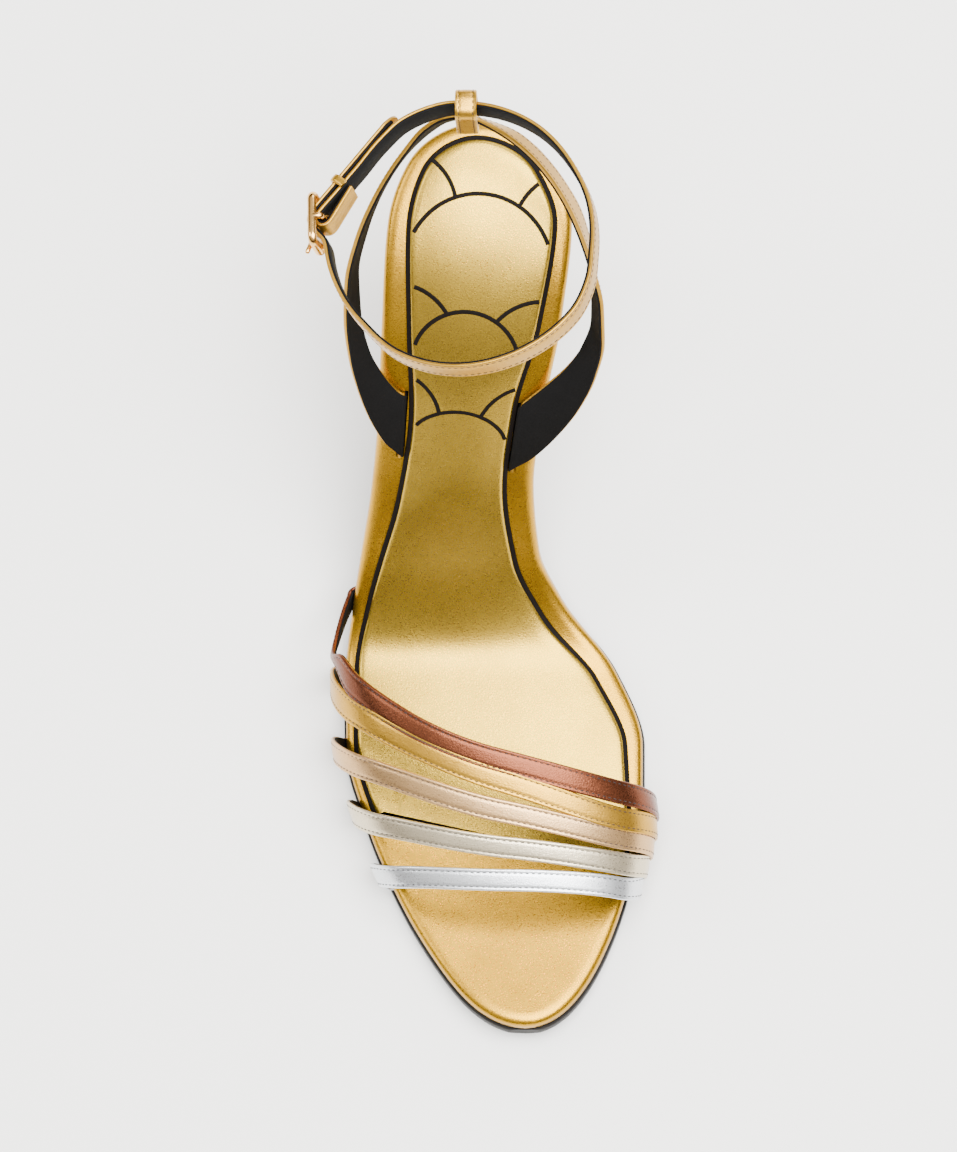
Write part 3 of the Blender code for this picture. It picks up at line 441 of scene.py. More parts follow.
# moulded lift, slightly pebbled: the matt black end of the heel
LIFT = DyedLeather("moulded_polyurethane_lift", "070707", "0e0e0e", 0.55, 0.9, 0.02, 0.2)
# gold plate over polished zinc: hard points of light on the buckle
PLATE = PlatedMetal("polished_gold_plate", "e3b268")


def neighbours(items: Sequence[Item], i: int, closed: bool = False, far: int = 1) -> tuple[Item, Item]:
    """Finds an item's neighbours along a run.

    Args:
        items: The run.
        i: Number of the item.
        closed: Whether the run joins up with its start; else its ends are their own neighbours.
        far: How many steps away the neighbours are.

    Returns:
        The item before and the item after.
    """
    count = len(items)
    if closed:
        return items[i - far], items[(i + far) % count]
    return items[max(i - far, 0)], items[min(i + far, count - 1)]


def shaped_grid(
    mesh: bmesh.types.BMesh, columns: int, rows: int, place: Callable[[int, int], Vector],
) -> None:
    """Adds a grid whose points are then laid where they belong.

    Args:
        mesh: Mesh the grid goes in.
        columns: Faces along the first direction.
        rows: Faces along the second direction.
        place: Gives the point, in millimetres, for a column and row number.
    """
    made = bmesh.ops.create_grid(mesh, x_segments=columns, y_segments=rows, size=0.5)
    for vert in made["verts"]:
        i = round((vert.co.x + 0.5) * columns)
        j = round((vert.co.y + 0.5) * rows)
        vert.co = place(i, j) * MM


def close_up(mesh: bmesh.types.BMesh) -> None:
    """Welds touching points, fills open ends and turns the faces outwards.

    Args:
        mesh: Mesh that is mended in place.
    """
    bmesh.ops.remove_doubles(mesh, verts=mesh.verts[:], dist=0.000002)
    bmesh.ops.dissolve_degenerate(mesh, dist=0.0000005, edges=mesh.edges[:])
    rim = [edge for edge in mesh.edges if edge.is_boundary]
    if rim:
        bmesh.ops.holes_fill(mesh, edges=rim, sides=0)
    bmesh.ops.recalc_face_normals(mesh, faces=mesh.faces[:])


def carved(mesh: bmesh.types.BMesh, cutters: Sequence[bmesh.types.BMesh]) -> bmesh.types.BMesh:
    """Cuts closed shapes out of a closed mesh.

    Args:
        mesh: What is cut; it is used up.
        cutters: The shapes taken out; they are used up too.

    Returns:
        The mesh that is left.
    """
    solids = []
    for shape in (mesh, *cutters):
        data = bpy.data.meshes.new("passing")
        shape.to_mesh(data)
        shape.free()
        solid = bpy.data.objects.new("passing", data)
        bpy.context.scene.collection.objects.link(solid)
        solids.append(solid)
    for cutter in solids[1:]:
        step = solids[0].modifiers.new("cut", "BOOLEAN")
        step.solver = "EXACT"
        step.operation = "DIFFERENCE"
        step.object = cutter
    made = bmesh.new()
    made.from_object(solids[0], bpy.context.evaluated_depsgraph_get())
    for solid in solids:
        data = solid.data
        bpy.data.objects.remove(solid)
        bpy.data.meshes.remove(data)
    return made


def dress(
    name: str,
    mesh: bmesh.types.BMesh,
    material: bpy.types.Material,
    slot: str | None = None,
    nodes: Iterable[str] = (),
    crease: float = 50.0,
) -> bpy.types.Object:
    """Turns a mesh into a finished piece that rides on the sandal.

    Args:
        name: The piece's name.
        mesh: Its mesh, in metres; it is used up.
        material: What it is made of.
        slot: The record's material slot; not used.
        nodes: CAD nodes it stands for.
        crease: Edges sharper than this many degrees stay crisp.

    Returns:
        The new object.
    """
    data = bpy.data.meshes.new(name)
    mesh.to_mesh(data)
    mesh.free()
    data.shade_smooth()
    data.set_sharp_from_angle(angle=math.radians(crease))
    data.materials.append(material)
    piece = bpy.data.objects.new(name, data)
    bpy.context.scene.collection.objects.link(piece)
    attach(piece, "root")
    if nodes:
        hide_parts(*nodes)
    LOG.info("%s: %d faces", name, len(data.polygons))
    return piece


def sweep(
    frames: Sequence[Frame],
    profile: Sequence[Point],
    closed: bool = False,
) -> bmesh.types.BMesh:
    """Runs a closed section along frames.

    Args:
        frames: Middle point, half width vector and face normal at each place along the run.
        profile: The section, as (share of the half width, height over the middle) points.
        closed: Whether the run joins up with its start.

    Returns:
        The closed mesh.
    """
    mesh = bmesh.new()
    count = len(frames)
    around = len(profile)

    def place(i: int, j: int) -> Vector:
        """Returns the section's point j at frame i."""
        middle, half, normal = frames[i % count]
        share, height = profile[j % around]
        return middle + half * share + normal * height

    shaped_grid(mesh, count if closed else count - 1, around, place)
    close_up(mesh)
    return mesh


def strap_face(half: float, outer: float, inner: float, rib: float = 0.0) -> list[Point]:
    """Gives the section of a folded leather face.

    Args:
        half: Half the strap's width.
        outer: Height of its face over the middle line.
        inner: Height of its back over the middle line.
        rib: How much the edges stand over the stitch lines.

    Returns:
        Points of the section, as shares of the half width and heights.
    """
    round_by = min(0.42 * (outer - inner), 0.45)
    wide = half - round_by
    corner = [math.radians(22.5 * k) for k in range(5)]
    edge = [(wide + round_by * math.sin(a), outer - round_by + round_by * math.cos(a)) for a in corner]
    edge += [(wide + round_by * math.cos(a), inner + round_by - round_by * math.sin(a)) for a in corner]
    section = edge + [(-across, height) for across, height in reversed(edge)]
    rib_from = 0.7
    for share in (-0.82, -0.72, -0.64, -0.55, -0.35, 0.0, 0.35, 0.55, 0.64, 0.72, 0.82):
        groove = 0.09 * math.exp(-((abs(share) - 0.66) / 0.07) ** 2)
        swell = 0.05 * (1.0 - (share / rib_from) ** 2) if abs(share) < rib_from else 0.0
        section.append((share * half, outer - groove + swell + rib * max(0.0, abs(share) - rib_from)))
    return [(across / half, height) for across, height in section]


def strap_back(half: float, narrower: float, outer: float, inner: float) -> list[Point]:
    """Gives the section of the lining behind a strap.

    Args:
        half: Half the strap's width.
        narrower: How far the lining stops short of each edge.
        outer: Height where it meets the face.
        inner: Height of its own surface.

    Returns:
        Points of the section, as shares of the half width and heights.
    """
    edge = (half - narrower) / half
    bevel = 0.12
    soft = edge - bevel / half
    return [
        (edge, outer), (edge, inner + bevel), (soft, inner), (0.0, inner - 0.03),
        (-soft, inner), (-edge, inner + bevel), (-edge, outer), (0.0, outer),
    ]


def stitch_row(
    mesh: bmesh.types.BMesh,
    frames: Sequence[Frame],
    inset: float,
    height: float,
    side: int,
    pitch: float = 1.6,
    length: float = 1.1,
    thick: float = 0.36,
) -> None:
    """Adds a row of stitches near one edge of a strap.

    Args:
        mesh: Mesh the stitches go in.
        frames: The strap's frames, close together.
        inset: Distance of the row from the edge.
        height: Height of the face over the middle line.
        side: Which edge, -1 or 1.
        pitch: From one stitch to the next.
        length: Visible length of a stitch.
        thick: Thread thickness.
    """
    points: list[tuple[Vector, Vector]] = []
    for middle, half, normal in frames:
        reach = max(half.length - inset, 0.0)
        points.append((middle + half.normalized() * reach * side + normal * height, normal))
    flatness = 0.8
    travelled = 0.0
    due = 0.5 * pitch
    for (a, up), (b, _) in zip(points, points[1:]):
        step = (b - a).length
        while step > 1e-6 and due <= travelled + step:
            spot = a.lerp(b, (due - travelled) / step)
            run = (b - a).normalized()
            across = up.cross(run).normalized()
            axes = (run * length, across * thick, up * thick * flatness)
            made = bmesh.ops.create_icosphere(mesh, subdivisions=1, radius=0.5)
            for vert in made["verts"]:
                x, y, z = vert.co
                vert.co = (spot + axes[0] * x + axes[1] * y + axes[2] * z) * MM
            due += pitch
        travelled += step


@dataclass
class SoleShape:
    """Curve and outline of the footbed; sizes in millimetres."""

    length: float = 257.5
    ball_width: float = 79.5
    heel_rise: float = 92.0
    tread_at: float = 0.29
    under: float = 3.3
    thick: float = 4.5
    count: int = 900
    slope: Table = (
        (0.00, -10.0), (0.10, -7.5), (0.22, 0.0), (0.36, 0.0), (0.44, 28.0),
        (0.53, 41.0), (0.70, 42.0), (0.82, 29.0), (0.90, 17.0), (1.00, 10.0),
    )
    outline: Table = (
        (0.000, 0.132, 0.132), (0.020, -0.030, 0.272), (0.070, -0.166, 0.379),
        (0.140, -0.297, 0.462), (0.220, -0.405, 0.519), (0.300, -0.473, 0.519),
        (0.380, -0.477, 0.426), (0.460, -0.449, 0.250), (0.520, -0.419, 0.176),
        (0.600, -0.379, 0.160), (0.700, -0.346, 0.197), (0.800, -0.327, 0.257),
        (0.900, -0.304, 0.294), (0.960, -0.238, 0.226), (1.000, -0.013, -0.013),
    )
    points: list[tuple[float, float, float]] = field(default_factory=list)

    def __post_init__(self) -> None:
        """Fits the shank's slope so the seat rises as far as it should."""
        low = 0.4
        high = 1.8
        tread = round(self.tread_at * self.count)
        for _ in range(36):
            factor = 0.5 * (low + high)
            self.points = self.trace(factor)
            if self.points[-1][1] - self.points[tread][1] < self.heel_rise:
                low = factor
            else:
                high = factor
        self.round_outline = tuple((self.end_angle(a), b, c) for a, b, c in self.outline)

    @staticmethod
    def end_angle(share: float) -> float:
        """Returns the share of the length as an angle that opens evenly at round ends."""
        return math.acos(1.0 - 2.0 * min(max(share, 0.0), 1.0)) / math.pi

    def trace(self, factor: float) -> list[tuple[float, float, float]]:
        """Runs along the sole from the toe.

        Args:
            factor: What the rising slopes are multiplied by.

        Returns:
            (y, z, slope) at even steps.
        """
        step = self.length / self.count
        angles = []
        for i in range(self.count + 1):
            slope = cubic(self.slope, 1, i / self.count)
            angles.append(math.radians(slope * factor if slope > 0.0 else slope))
        y = 0.0
        z = 0.0
        points = [(y, z, angles[0])]
        for before, after in zip(angles, angles[1:]):
            middle = 0.5 * (before + after)
            y += step * math.cos(middle)
            z += step * math.sin(middle)
            points.append((y, z, after))
        return points

    def at(self, s: float) -> tuple[float, float, float]:
        """Finds the footbed's underside.

        Args:
            s: Length along the sole from the toe.

        Returns:
            Its y, its z and its slope in radians.
        """
        place = min(max(s / self.length, 0.0), 1.0) * self.count
        i = min(int(place), self.count - 1)
        t = place - i
        a = self.points[i]
        b = self.points[i + 1]
        origin = self.points[round(self.tread_at * self.count)]
        y = a[0] + (b[0] - a[0]) * t - origin[0]
        z = a[1] + (b[1] - a[1]) * t - origin[1] + self.under
        return y, z, a[2] + (b[2] - a[2]) * t

    def put(self, s: float, x: float, h: float) -> Vector:
        """Returns the point x across and h above the footbed's underside, at the length s."""
        y, z, slope = self.at(s)
        return Vector((x, y - h * math.sin(slope), z + h * math.cos(slope)))

    def directions(self, s: float) -> tuple[Vector, Vector]:
        """Finds how the footbed lies.

        Args:
            s: Length along the sole from the toe.

        Returns:
            The directions along the sole and out of its top.
        """
        slope = self.at(s)[2]
        along = Vector((0.0, math.cos(slope), math.sin(slope)))
        return along, Vector((0.0, -math.sin(slope), math.cos(slope)))

    def edge(self, s: float, side: int) -> float:
        """Returns the footbed's edge at the length s; side -1 is the outer side, 1 the inner."""
        column = 1 if side < 0 else 2
        return self.ball_width * cubic(self.round_outline, column, self.end_angle(s / self.length))

    def edge_normal(self, s: float, side: int) -> Vector:
        """Finds the way out of the footbed's edge.

        Args:
            s: Length along the sole from the toe.
            side: -1 for the outer side, 1 for the inner side.

        Returns:
            The unit direction, as (along, across).
        """
        if s < 0.01:
            return Vector((-1.0, 0.0))
        if s > self.length - 0.01:
            return Vector((1.0, 0.0))
        low = max(s - 0.4, 0.0)
        high = min(s + 0.4, self.length)
        run = Vector((high - low, self.edge(high, side) - self.edge(low, side)))
        return (Vector((-run.y, run.x)) * side).normalized()


SOLE = SoleShape()
Inset = Callable[[float, int], float]
Height = Callable[[float, float], float]


@dataclass
class Layer:
    """A closed sole layer: a rim in rings round its edge, and a surface in strips between."""

    first: tuple[float, float]
    last: float
    stations: int = 150
    across: int = 14
    easing: float = 0.88
    round_front: bool = True
    round_back: bool = True

    def pairs(self) -> list[Point]:
        """Spaces the stations, closer together at round ends.

        Returns:
            The outer and the inner station of each row.
        """
        made = []
        for i in range(self.stations + 1):
            t = i / self.stations
            if self.round_front and self.round_back:
                eased = 0.5 * (1.0 - math.cos(math.pi * t))
            elif self.round_back:
                eased = math.sin(0.5 * math.pi * t)
            else:
                eased = 1.0 - math.cos(0.5 * math.pi * t)
            t += self.easing * (eased - t)
            made.append(tuple(start + (self.last - start) * t for start in self.first))
        return made

    def place(self, s: float, side: int, inset: float, end: float) -> Point:
        """Moves a point of the outline inwards.

        Args:
            s: Its station.
            side: Its side.
            inset: How far it moves in.
            end: 1 on a straight front edge, -1 on a straight back edge, 0 elsewhere.

        Returns:
            Its new (s, x).
        """
        out = SOLE.edge_normal(s, side)
        return s - out.x * inset + end * inset, SOLE.edge(s, side) - out.y * inset

    def ring(self, inset: Inset) -> tuple[list[Point], list[Point]]:
        """Lays one ring round the layer.

        Args:
            inset: How far it lies inside the outline.

        Returns:
            The outer and the inner side's points, as (s, x).
        """
        sides: list[list[Point]] = []
        pairs = self.pairs()
        for column, side in ((0, -1), (1, 1)):
            run = []
            for i, pair in enumerate(pairs):
                end = 0.0
                if i == 0 and not self.round_front:
                    end = 1.0
                if i == self.stations and not self.round_back:
                    end = -1.0
                s = pair[column]
                run.append(self.place(s, side, inset(s, side), end))
            sides.append(run)
        if self.round_front:
            sides[1][0] = sides[0][0]
        if self.round_back:
            sides[1][-1] = sides[0][-1]
        return sides[0], sides[1]

    def loop(self, outer: list[Point], inner: list[Point]) -> list[Point]:
        """Puts one ring's points in order, with its straight ends filled in.

        Args:
            outer: The outer side's points.
            inner: The inner side's points.

        Returns:
            The points all round.
        """
        points = list(outer)
        if not self.round_back:
            points += self.between(outer[-1], inner[-1])
        points += list(reversed(inner))[1 if self.round_back else 0:]
        if self.round_front:
            points.pop()
        else:
            points += self.between(inner[0], outer[0])
        return points

    def between(self, a: Point, b: Point) -> list[Point]:
        """Returns the points strictly between two corners."""
        shares = [k / self.across for k in range(1, self.across)]
        return [(a[0] + (b[0] - a[0]) * t, a[1] + (b[1] - a[1]) * t) for t in shares]

    def build(self, levels: Sequence[tuple[Inset, Height]]) -> bmesh.types.BMesh:
        """Builds the closed layer.

        Args:
            levels: Bottom to top, how far in each ring lies and its height at (s, x).

        Returns:
            The mesh, in metres.
        """
        mesh = bmesh.new()
        rings = [self.ring(inset) for inset, _ in levels]
        loops = [self.loop(outer, inner) for outer, inner in rings]
        heights = [height for _, height in levels]
        count = len(loops[0])

        def rim(i: int, j: int) -> Vector:
            """Returns the rim's point i of ring j."""
            s, x = loops[j][i % count]
            return SOLE.put(s, x, heights[j](s, x))

        shaped_grid(mesh, count, len(levels) - 1, rim)
        for level in (0, -1):
            outer, inner = rings[level]
            height = heights[level]

            def surface(i: int, j: int) -> Vector:
                """Returns the point of strip i, step j across."""
                t = j / self.across
                s = outer[i][0] + (inner[i][0] - outer[i][0]) * t
                x = outer[i][1] + (inner[i][1] - outer[i][1]) * t
                return SOLE.put(s, x, height(s, x))

            shaped_grid(mesh, self.stations, self.across, surface)
        close_up(mesh)
        return mesh


def level(value: float) -> Height:
    """Returns a height that is the same everywhere."""
    return lambda s, x: value


def inward(value: float) -> Inset:
    """Returns an inset that is the same all round."""
    return lambda s, side: value


@dataclass
class Footbed:
    """Insole board wrapped in deep gold leather, with the heel strap's two slots."""

    clear: float = 0.35
    strap_thick: float = 1.5
    through: float = 2.0
    rim: Table = (
        (1.4, 0.0), (0.6, 0.15), (0.2, 0.5), (0.0, 1.1), (0.0, 2.2), (0.05, 2.8),
        (0.28, 3.4), (0.72, 3.9), (1.4, 4.25), (2.4, 4.46), (3.2, SOLE.thick),
    )

    def slot(self, side: int, front: float, rear: float, inset: float) -> bmesh.types.BMesh:
        """Makes the shape that one slot takes out.

        Args:
            side: -1 for the outer side, 1 for the inner side.
            front: Its front end, as a share of the sole's length.
            rear: Its rear end, likewise.
            inset: Its distance from the footbed's edge.

        Returns:
            A closed block that runs past both faces of the footbed.
        """
        first = front * SOLE.length - self.clear
        last = rear * SOLE.length + self.clear
        half = 0.5 * self.strap_thick + self.clear
        mesh = bmesh.new()
        bmesh.ops.create_cube(mesh, size=1.0)
        for vert in mesh.verts:
            s = first if vert.co.x < 0.0 else last
            across = half if vert.co.y > 0.0 else -half
            h = -self.through if vert.co.z < 0.0 else SOLE.thick + self.through
            vert.co = SOLE.put(s, SOLE.edge(s, side) - side * inset + across, h) * MM
        bmesh.ops.recalc_face_normals(mesh, faces=mesh.faces[:])
        return mesh

    def build(self, wardrobe: Wardrobe) -> None:
        """Makes the wrapped footbed with its rolled rim and its two slots.

        Args:
            wardrobe: Hands out the materials.
        """
        layer = Layer((0.0, 0.0), SOLE.length)
        mesh = layer.build([(inward(inset), level(height)) for inset, height in self.rim])
        mesh = carved(mesh, [self.slot(*row) for row in SLOTS])
        wardrobe.foil("footbed_wrap", mesh, Leather.FOOTBED, "footbed")


@dataclass
class Insock:
    """Padded sock with an inked edge and a scale pattern drawn on it."""

    first: tuple[float, float] = (0.213, 0.159)
    ink_width: float = 1.2
    glue: float = 0.02
    foam: float = 0.85
    rise: float = 0.85
    crown: float = 1.1
    crown_from: float = 1.9
    corner: float = 2.2
    corner_run: float = 3.0
    edge_table: Table = (
        (0.16, 2.0, 1.8), (0.28, 2.0, 3.7), (0.40, 2.5, 5.5), (0.50, 4.2, 5.8), (0.60, 6.8, 7.0),
        (0.70, 8.0, 7.2), (0.80, 6.6, 5.1), (0.90, 5.0, 3.7), (1.00, 3.2, 3.2),
    )
    line_width: float = 1.1
    line_step: float = 0.5
    line_lift: float = 0.02
    line_clear: float = 0.7
    line_section: Table = ((1.0, 0.0), (0.7, 0.05), (0.0, 0.07), (-0.7, 0.05), (-1.0, 0.0), (0.0, -0.08))
    scales: Table = (
        (220.6, -0.7, 19.1, -84, 100), (236.0, -21.0, 14.8, 20, 79), (229.0, 24.0, 15.9, -15, -62),
        (197.2, -4.4, 13.8, -88, 86), (203.3, -21.2, 14.2, -4, 62), (197.8, 15.0, 15.3, 20, -45),
        (170.1, -7.2, 13.2, -86, 96), (181.2, -25.0, 13.6, 14, 86), (176.0, 12.0, 13.8, 4, -65),
    )

    def front(self) -> Point:
        """Returns the stations of the outer and the inner end of its front edge."""
        return self.first[0] * SOLE.length, self.first[1] * SOLE.length

    def inset(self, extra: float) -> Inset:
        """Gives the sock's distance from the footbed's edge, with round front corners.

        Args:
            extra: How much further in.

        Returns:
            The inset as a function of place and side.
        """
        start = self.front()

        def found(s: float, side: int) -> float:
            """Returns the inset at one place, with the front corners rounded off."""
            first = start[0] if side < 0 else start[1]
            corner = self.corner * max(0.0, 1.0 - (s - first) / self.corner_run) ** 2
            return cubic(self.edge_table, 1 if side < 0 else 2, s / SOLE.length) + corner + extra

        return found

    def surface(self, s: float, x: float) -> float:
        """Gives the padded face's height.

        Args:
            s: Length along the sole from the toe.
            x: Place across the sole.

        Returns:
            The height over the footbed's underside.
        """
        grow = self.inset(self.ink_width + self.crown_from)
        low = SOLE.edge(s, -1) + grow(s, -1)
        high = SOLE.edge(s, 1) - grow(s, 1)
        half = max(0.5 * (high - low), 0.5)
        share = min(abs(x - 0.5 * (low + high)) / half, 1.0)
        back = 1.0 - math.exp(-max(SOLE.length - 6.0 - s, 0.0) / 5.0)
        swell = (1.0 - share ** 2.2) * back
        return SOLE.thick + self.foam + self.rise + self.crown * swell

    def build(self, wardrobe: Wardrobe) -> None:
        """Makes the inked foam layer, the padded leather and the scale lines.

        Args:
            wardrobe: Hands out the materials.
        """
        layer = Layer(self.front(), SOLE.length, round_front=False)
        base = SOLE.thick + self.glue
        foam_top = SOLE.thick + self.foam
        ink = layer.build([
            (self.inset(0.0), level(base)),
            (self.inset(0.0), level(foam_top - 0.25)),
            (self.inset(0.25), level(foam_top)),
        ])
        slot = Leather.INSOCK.slot
        dress("insock_edge", ink, wardrobe.get(EDGE_INK), slot, crease=60.0)
        wide = self.ink_width
        top = SOLE.thick + self.foam + self.rise
        rings = [(wide, foam_top - 0.3), (wide - 0.05, foam_top + 0.05), (wide + 0.1, top - 0.55),
                 (wide + 0.4, top - 0.25), (wide + 0.9, top - 0.08)]
        levels: list[tuple[Inset, Height]] = [(self.inset(d), level(h)) for d, h in rings]
        levels.append((self.inset(wide + self.crown_from), self.surface))
        piece = wardrobe.foil("insock_cover", layer.build(levels), Leather.INSOCK, "insock")
        lines = bmesh.new()
        for row in self.scales:
            lines = joined(lines, self.line(*row))
        dress("insock_scales", lines, wardrobe.get(EDGE_INK), slot)

    def line(
        self, centre_s: float, centre_x: float, radius: float, first: float, last: float,
    ) -> bmesh.types.BMesh:
        """Makes one inked line of the scale pattern.

        Args:
            centre_s: Station of the middle of its circle.
            centre_x: Place of that middle across the sole.
            radius: The circle's radius.
            first: Angle of its start, from the heel's direction towards the inner side.
            last: Angle of its end.

        Returns:
            A thin closed ribbon lying on the sock.
        """
        frames = []
        steps = max(round(radius * math.radians(abs(last - first)) / self.line_step), 4)
        border = self.inset(self.ink_width + self.line_clear)
        for k in range(steps + 1):
            angle = math.radians(first + (last - first) * k / steps)
            s = centre_s + radius * math.cos(angle)
            x = centre_x + radius * math.sin(angle)
            if not SOLE.edge(s, -1) + border(s, -1) < x < SOLE.edge(s, 1) - border(s, 1):
                continue
            normal = SOLE.directions(s)[1]
            spots = []
            for reach in (radius - 0.5 * self.line_width, radius, radius + 0.5 * self.line_width):
                s = centre_s + reach * math.cos(angle)
                x = centre_x + reach * math.sin(angle)
                spots.append(SOLE.put(s, x, self.surface(s, x) + self.line_lift))
            frames.append((spots[1], (spots[2] - spots[0]) * 0.5, normal))
        return sweep(frames, self.line_section)


@dataclass
class Outsole:
    """Black sole leather whose burnished edge shows past the footbed."""

    table: Table = (
        (0.00, 1.00, -1.0), (0.36, 1.00, -1.0), (0.46, 0.72, 1.6), (0.60, 0.66, 2.4), (0.85, 0.66, 2.4),
    )
    overhang: float = 0.6
    thick: float = 3.249
    gap: float = 0.05
    breast_at: float = 0.80

    def build(self, wardrobe: Wardrobe) -> None:
        """Makes the outsole up to the heel's breast.

        Args:
            wardrobe: Hands out the materials.
        """
        def drop(share: float) -> Height:
            """Returns the height of a ring this share of the thickness down."""
            deep = share * self.thick
            return lambda s, x: -self.gap - deep * cubic(self.table, 1, s / SOLE.length)

        def rim(extra: float) -> Inset:
            """Returns the inset of a ring."""
            def found(s: float, side: int) -> float:
                """Returns the inset at one place."""
                value = cubic(self.table, 2, s / SOLE.length)
                return extra + (value * self.overhang if value < 0.0 else value)
            return found

        levels = [
            (rim(1.1), drop(1.0)), (rim(0.5), drop(0.96)), (rim(0.12), drop(0.82)),
            (rim(0.0), drop(0.6)), (rim(0.0), drop(0.15)), (rim(0.12), drop(0.0)),
        ]
        layer = Layer((0.0, 0.0), self.breast_at * SOLE.length, round_back=False)
        dress("outsole_leather", layer.build(levels), wardrobe.get(SOLE_EDGE), "sole_leather", ["outsole"])


@dataclass
class Heel:
    """Slim heel covered in the footbed's gold leather, on a black lift."""

    breast_at: float = 0.80
    tip_back: float = 21.0
    lift: float = 6.0
    body: Table = (
        (0.00, 0.00, 0.0, 0.0, 0.00),
        (0.10, 0.30, 17.5, 17.0, 0.15), (0.22, 0.58, 11.6, 11.5, 0.40), (0.36, 0.80, 8.0, 8.4, 0.75),
        (0.55, 0.93, 5.9, 6.6, 1.00), (0.78, 0.99, 4.7, 5.4, 1.00), (1.00, 1.00, 4.2, 5.0, 1.00),
    )
    rows: int = 60
    seat_steps: int = 40
    breast_steps: int = 16
    seat_inset: float = 0.9
    seat_gap: float = 0.02
    breast_hollow: float = 2.6
    row_bias: float = 1.25
    wall_clear: float = 0.3
    lift_gap: float = 0.05
    lift_sides: int = 48

    def seat(self) -> list[Vector]:
        """Traces the heel's top edge, round the seat and across the breast.

        Returns:
            Its points in order.
        """
        first = self.breast_at * SOLE.length + self.wall_clear
        points = []
        for side in (-1, 1):
            for k in range(0 if side < 0 else 1, self.seat_steps + 1):
                t = k / self.seat_steps if side < 0 else 1.0 - k / self.seat_steps
                s = first + (SOLE.length - first) * (0.1 * t + 0.9 * math.sin(0.5 * math.pi * t))
                out = SOLE.edge_normal(s, side)
                x = SOLE.edge(s, side) - out.y * self.seat_inset
                points.append(SOLE.put(s - out.x * self.seat_inset, x, -self.seat_gap))
        last = points[-1]
        start = points[0]
        for k in range(1, self.breast_steps):
            t = k / self.breast_steps
            hollow = self.breast_hollow * math.sin(math.pi * t)
            points.append(SOLE.put(first + hollow, last.x + (start.x - last.x) * t, -self.seat_gap))
        return points

    def build(self, wardrobe: Wardrobe) -> None:
        """Makes the covered heel and its lift.

        Args:
            wardrobe: Hands out the materials.
        """
        top = self.seat()
        back = SOLE.put(SOLE.length, SOLE.edge(SOLE.length, -1), 0.0)
        tip = Vector((back.x, back.y - self.tip_back, self.lift))
        middle = sum(top, Vector()) / len(top)
        half_x = max(abs(point.x - middle.x) for point in top)
        half_y = max(abs(point.y - middle.y) for point in top)
        body = ((0.0, 0.0, half_x, half_y, 0.0),) + tuple(self.body[1:])
        mesh = bmesh.new()

        def place(i: int, j: int) -> Vector:
            """Returns the heel's point i round the section j down."""
            share = (j / self.rows) ** self.row_bias
            lean, wide, deep, roundness = (cubic(body, column, share) for column in (1, 2, 3, 4))
            point = top[i % len(top)]
            out = point - middle
            centre = middle.lerp(tip, lean)
            angle = math.atan2(out.y / half_y, out.x / half_x)
            oval = Vector((wide * math.cos(angle), deep * math.sin(angle), 0.0))
            kept = Vector((out.x * wide / half_x, out.y * deep / half_y, 0.0))
            made = centre + kept.lerp(oval, roundness)
            z = middle.z - (middle.z - tip.z) * share + out.z * (1.0 - share) ** 3 * (1.0 - roundness)
            return Vector((made.x, made.y, z))

        shaped_grid(mesh, len(top), self.rows, place)
        close_up(mesh)
        wardrobe.foil("heel_cover", mesh, Leather.FOOTBED, "heel")
        self.build_lift(wardrobe, tip)

    def build_lift(self, wardrobe: Wardrobe, tip: Vector) -> None:
        """Makes the moulded lift under the heel.

        Args:
            wardrobe: Hands out the materials.
            tip: Middle of the heel's lower end.
        """
        wide, deep = self.body[-1][2], self.body[-1][3]
        mesh = bmesh.new()
        bmesh.ops.create_cone(
            mesh, cap_ends=True, segments=self.lift_sides, radius1=1.0, radius2=1.0, depth=1.0,
        )
        caps = [edge for edge in mesh.edges if abs(edge.verts[0].co.z - edge.verts[1].co.z) < 0.01]
        for vert in mesh.verts:
            vert.co = Vector((
                tip.x + vert.co.x * wide,
                tip.y + vert.co.y * deep,
                (vert.co.z + 0.5) * (self.lift - self.lift_gap),
            )) * MM
        bmesh.ops.bevel(
            mesh, geom=caps, offset=0.0004, segments=3, profile=0.5, affect="EDGES", material=-1,
        )
        bmesh.ops.recalc_face_normals(mesh, faces=mesh.faces[:])
        dress("heel_lift", mesh, wardrobe.get(LIFT), "lift_rubber", ["top_lift"], crease=35.0)


